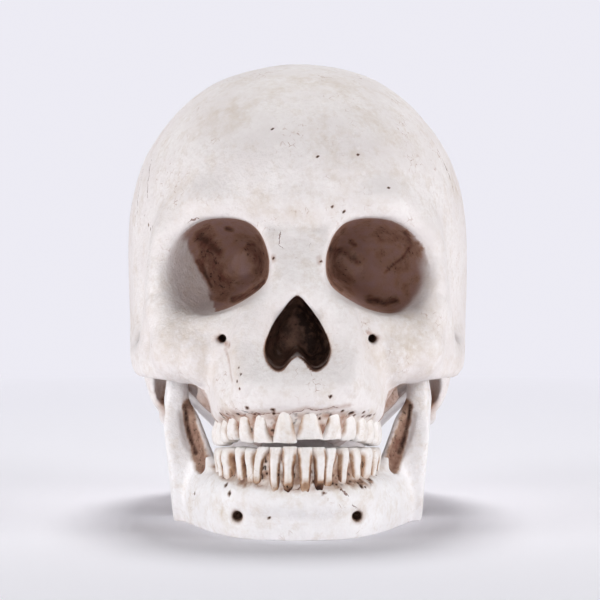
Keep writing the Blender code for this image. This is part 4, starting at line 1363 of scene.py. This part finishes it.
def resin_look(name, light, shade, tan, rust, brown, dark, roughness):
    """Cast resin with a tan bloom, a mauve haze and brown wash in its hollows, cracks and pores."""
    tree = Tree(name)
    base = tree.mix(tree.pattern("cloud"), light, shade)
    base = tree.mix(tree.pattern("mottle"), base, shade)
    base = tree.mix(tree.pattern("bloom"), base, tan)
    base = tree.mix(tree.crackle(), base, rust)
    base = tree.mix(tree.maths("MULTIPLY", tree.layer("stain"), tree.pattern("broken_stain")), base, tan)
    base = tree.mix(tree.layer("haze"), base, MAUVE)
    wash = tree.maths("MULTIPLY", tree.layer("wash"), tree.pattern("broken_wash"))
    wash = tree.range(wash, 0.04, 0.92)
    base = tree.mix(tree.range(wash, 0.0, 0.5), base, rust)
    base = tree.mix(tree.range(wash, 0.45, 1.0), base, brown)
    spots = tree.maths("MULTIPLY", tree.pattern("spots"), tree.range(wash, 0.25, 0.75))
    pit = tree.maths("MULTIPLY", tree.layer("pit"), tree.pattern("broken_pit"))
    base = tree.mix(tree.maths("MAXIMUM", spots, tree.range(pit, 0.1, 0.85)), base, dark)
    side = tree.maths("ADD", tree.layer("crack_side"), tree.pattern("crack_wander"))
    line = tree.maths("LESS_THAN", tree.maths("ABSOLUTE", side, 0.0), tree.pattern("crack_width"))
    line = tree.maths("MULTIPLY", line, tree.layer("crack"))
    tree.give("Base Color", tree.mix(tree.maths("MULTIPLY", line, 0.85), base, brown))
    grain = tree.pattern("grain")
    tree.give("Roughness", tree.range(grain, 0.0, 1.0, roughness - 0.06, roughness + 0.1))
    tree.give("Specular IOR Level", tree.range(wash, 0.0, 0.6, 0.35, 0.06))
    tree.bump(tree.maths("SUBTRACT", grain, tree.maths("MULTIPLY", line, 2.0)), 0.55, 0.0005)
    return tree.look


def steel_look():
    tree = Tree("brushed_pin_steel")
    scratch = tree.noise(900.0, 5.0, 0.7)
    tree.give("Base Color", tree.mix(scratch, (0.42, 0.41, 0.4), (0.62, 0.62, 0.63)))
    tree.give("Roughness", tree.range(scratch, 0.2, 0.8, 0.28, 0.48))
    tree.shader.inputs["Metallic"].default_value = 1.0
    tree.bump(scratch, 0.15, 0.0001)
    return tree.look


bone_look = resin_look("aged_bone_resin", (0.86, 0.82, 0.81), (0.78, 0.725, 0.715),
                       (0.62, 0.52, 0.43), (0.4, 0.242, 0.18), (0.19, 0.086, 0.062),
                       (0.038, 0.021, 0.017), 0.52)
# The lower jaw's resin is a lighter copy of the skull's: painted light that brightens the lower jaw.
lit_jaw_look = resin_look("aged_jaw_resin_painted_lighter", (0.945, 0.93, 0.94), (0.885, 0.855, 0.86),
                      (0.64, 0.53, 0.42), (0.43, 0.29, 0.22), (0.2, 0.1, 0.072),
                      (0.035, 0.018, 0.014), 0.5)
tooth_look = resin_look("aged_tooth_resin", (0.93, 0.9, 0.89), (0.86, 0.82, 0.8),
                        (0.6, 0.46, 0.33), (0.45, 0.28, 0.18), (0.2, 0.1, 0.064),
                        (0.04, 0.02, 0.015), 0.42)

cranium = make_cranium()
dress_cranium(Skin(cranium))
cover(cranium, bone_look)
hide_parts("cranium")
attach(cranium, "head")

jaw = make_jaw()
dress_jaw(Skin(jaw))
cover(jaw, lit_jaw_look)
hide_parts("mandible")
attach(jaw, "lower_jaw")

make_teeth("upper", "head", tooth_look)
make_teeth("lower", "lower_jaw", tooth_look)

pin_look = steel_look()
for side_name, _ in SIDES:
    cover(frame["nodes"][f"hinge_pin_{side_name}"], pin_look)

# Camera at the photograph's angle
CAMERA_TARGET = Vector((0.00101, 0, 0.0849))
CAMERA_DISTANCE = 1.0626
CAMERA_RISE = math.radians(2.33)
LENS_MM, SENSOR_MM = 157.8, 36
camera_data = bpy.data.cameras.new("camera")
camera_data.lens = LENS_MM
camera_data.sensor_width = SENSOR_MM
camera = bpy.data.objects.new("camera", camera_data)
bpy.context.collection.objects.link(camera)
toward = Vector((0, -math.cos(CAMERA_RISE), math.sin(CAMERA_RISE)))
camera.location = CAMERA_TARGET + toward * CAMERA_DISTANCE
camera.rotation_euler = (-toward).to_track_quat("-Z", "Y").to_euler()
bpy.context.scene.camera = camera

# Round lights: turn and rise in degrees, how bright each makes a white surface that faces it, size
LIGHT_REACH = 1.2
softboxes = {
    "left_softbox": (-66, 6, 0.78, 0.8),
    "right_softbox": (66, 6, 0.81, 0.8),
    "front_softbox": (-4, 4, 0.27, 0.7),
    "top_softbox": (178, 64, 0.6, 0.34),
}
for name, (azimuth, rise, level, size) in softboxes.items():
    turn, lift = math.radians(azimuth), math.radians(rise)
    toward = Vector((math.sin(turn) * math.cos(lift), -math.cos(turn) * math.cos(lift), math.sin(lift)))
    light = bpy.data.lights.new(name, "AREA")
    light.shape = "DISK"
    light.size = size
    light.energy = level * (math.pi * LIGHT_REACH) ** 2
    lamp = bpy.data.objects.new(name, light)
    bpy.context.collection.objects.link(lamp)
    lamp.location = CAMERA_TARGET + toward * LIGHT_REACH
    lamp.rotation_euler = (CAMERA_TARGET - lamp.location).to_track_quat("-Z", "Y").to_euler()

# Seamless pale floor that rises behind the object and turns into the backdrop's colour away from it
FLOOR_REACH = 1.6
FLOOR_BACK = 0.9
SWEEP_RADIUS = 0.5
FADE_START = 0.25
FADE_END = 0.8
FLOOR_COLOUR = (0.9, 0.892, 0.94, 1)
BACKDROP_COLOUR = (0.845, 0.835, 0.905, 1)
bm = bmesh.new()
profile = [(-FLOOR_REACH, 0.0)]
profile += [(FLOOR_BACK + SWEEP_RADIUS * math.sin(a), SWEEP_RADIUS * (1 - math.cos(a)))
            for a in (math.pi / 2 * i / 24 for i in range(25))]
profile.append((FLOOR_BACK + SWEEP_RADIUS, FLOOR_REACH))
rows = [[bm.verts.new((side * FLOOR_REACH, y, z)) for y, z in profile] for side in (-1, 1)]
for i in range(len(profile) - 1):
    bm.faces.new((rows[0][i], rows[1][i], rows[1][i + 1], rows[0][i + 1]))
floor = add_object("studio_sweep", bm)
tree = Tree("pale_backdrop")
for name, value in (("Base Color", FLOOR_COLOUR), ("Roughness", 0.9), ("Specular IOR Level", 0.1)):
    tree.shader.inputs[name].default_value = value
away = tree.add("ShaderNodeVectorMath", operation="LENGTH")
tree.link(tree.place(), away.inputs[0])
far = tree.range(away.outputs["Value"], FADE_START, FADE_END)
seen = tree.nodes.new("ShaderNodeLightPath").outputs["Is Camera Ray"]
glow = tree.add("ShaderNodeEmission", Color=BACKDROP_COLOUR, Strength=1.0)
blend = tree.nodes.new("ShaderNodeMixShader")
for socket, value in zip(blend.inputs, (tree.maths("MULTIPLY", far, seen), tree.shader.outputs[0],
                                        glow.outputs[0])):
    tree.link(value, socket)
tree.link(blend.outputs[0], tree.nodes["Material Output"].inputs["Surface"])
cover(floor, tree.look)

# Soft light from all round, behind which the camera sees the backdrop's colour
SKY_COLOUR = (0.95, 0.95, 1.0, 1)
SKY_STRENGTH = 0.1
world = bpy.data.worlds.new("studio")
bpy.context.scene.world = world
world.use_nodes = True
nodes, links = world.node_tree.nodes, world.node_tree.links
sky = nodes["Background"]
sky.inputs["Color"].default_value = SKY_COLOUR
sky.inputs["Strength"].default_value = SKY_STRENGTH
backdrop = nodes.new("ShaderNodeBackground")
backdrop.inputs["Color"].default_value = BACKDROP_COLOUR
choose = nodes.new("ShaderNodeMixShader")
seen = nodes.new("ShaderNodeLightPath").outputs["Is Camera Ray"]
for socket, value in zip(choose.inputs, (seen, sky.outputs[0], backdrop.outputs[0])):
    links.new(value, socket)
links.new(choose.outputs[0], nodes["World Output"].inputs["Surface"])
bpy.context.scene.view_settings.view_transform = "Standard"
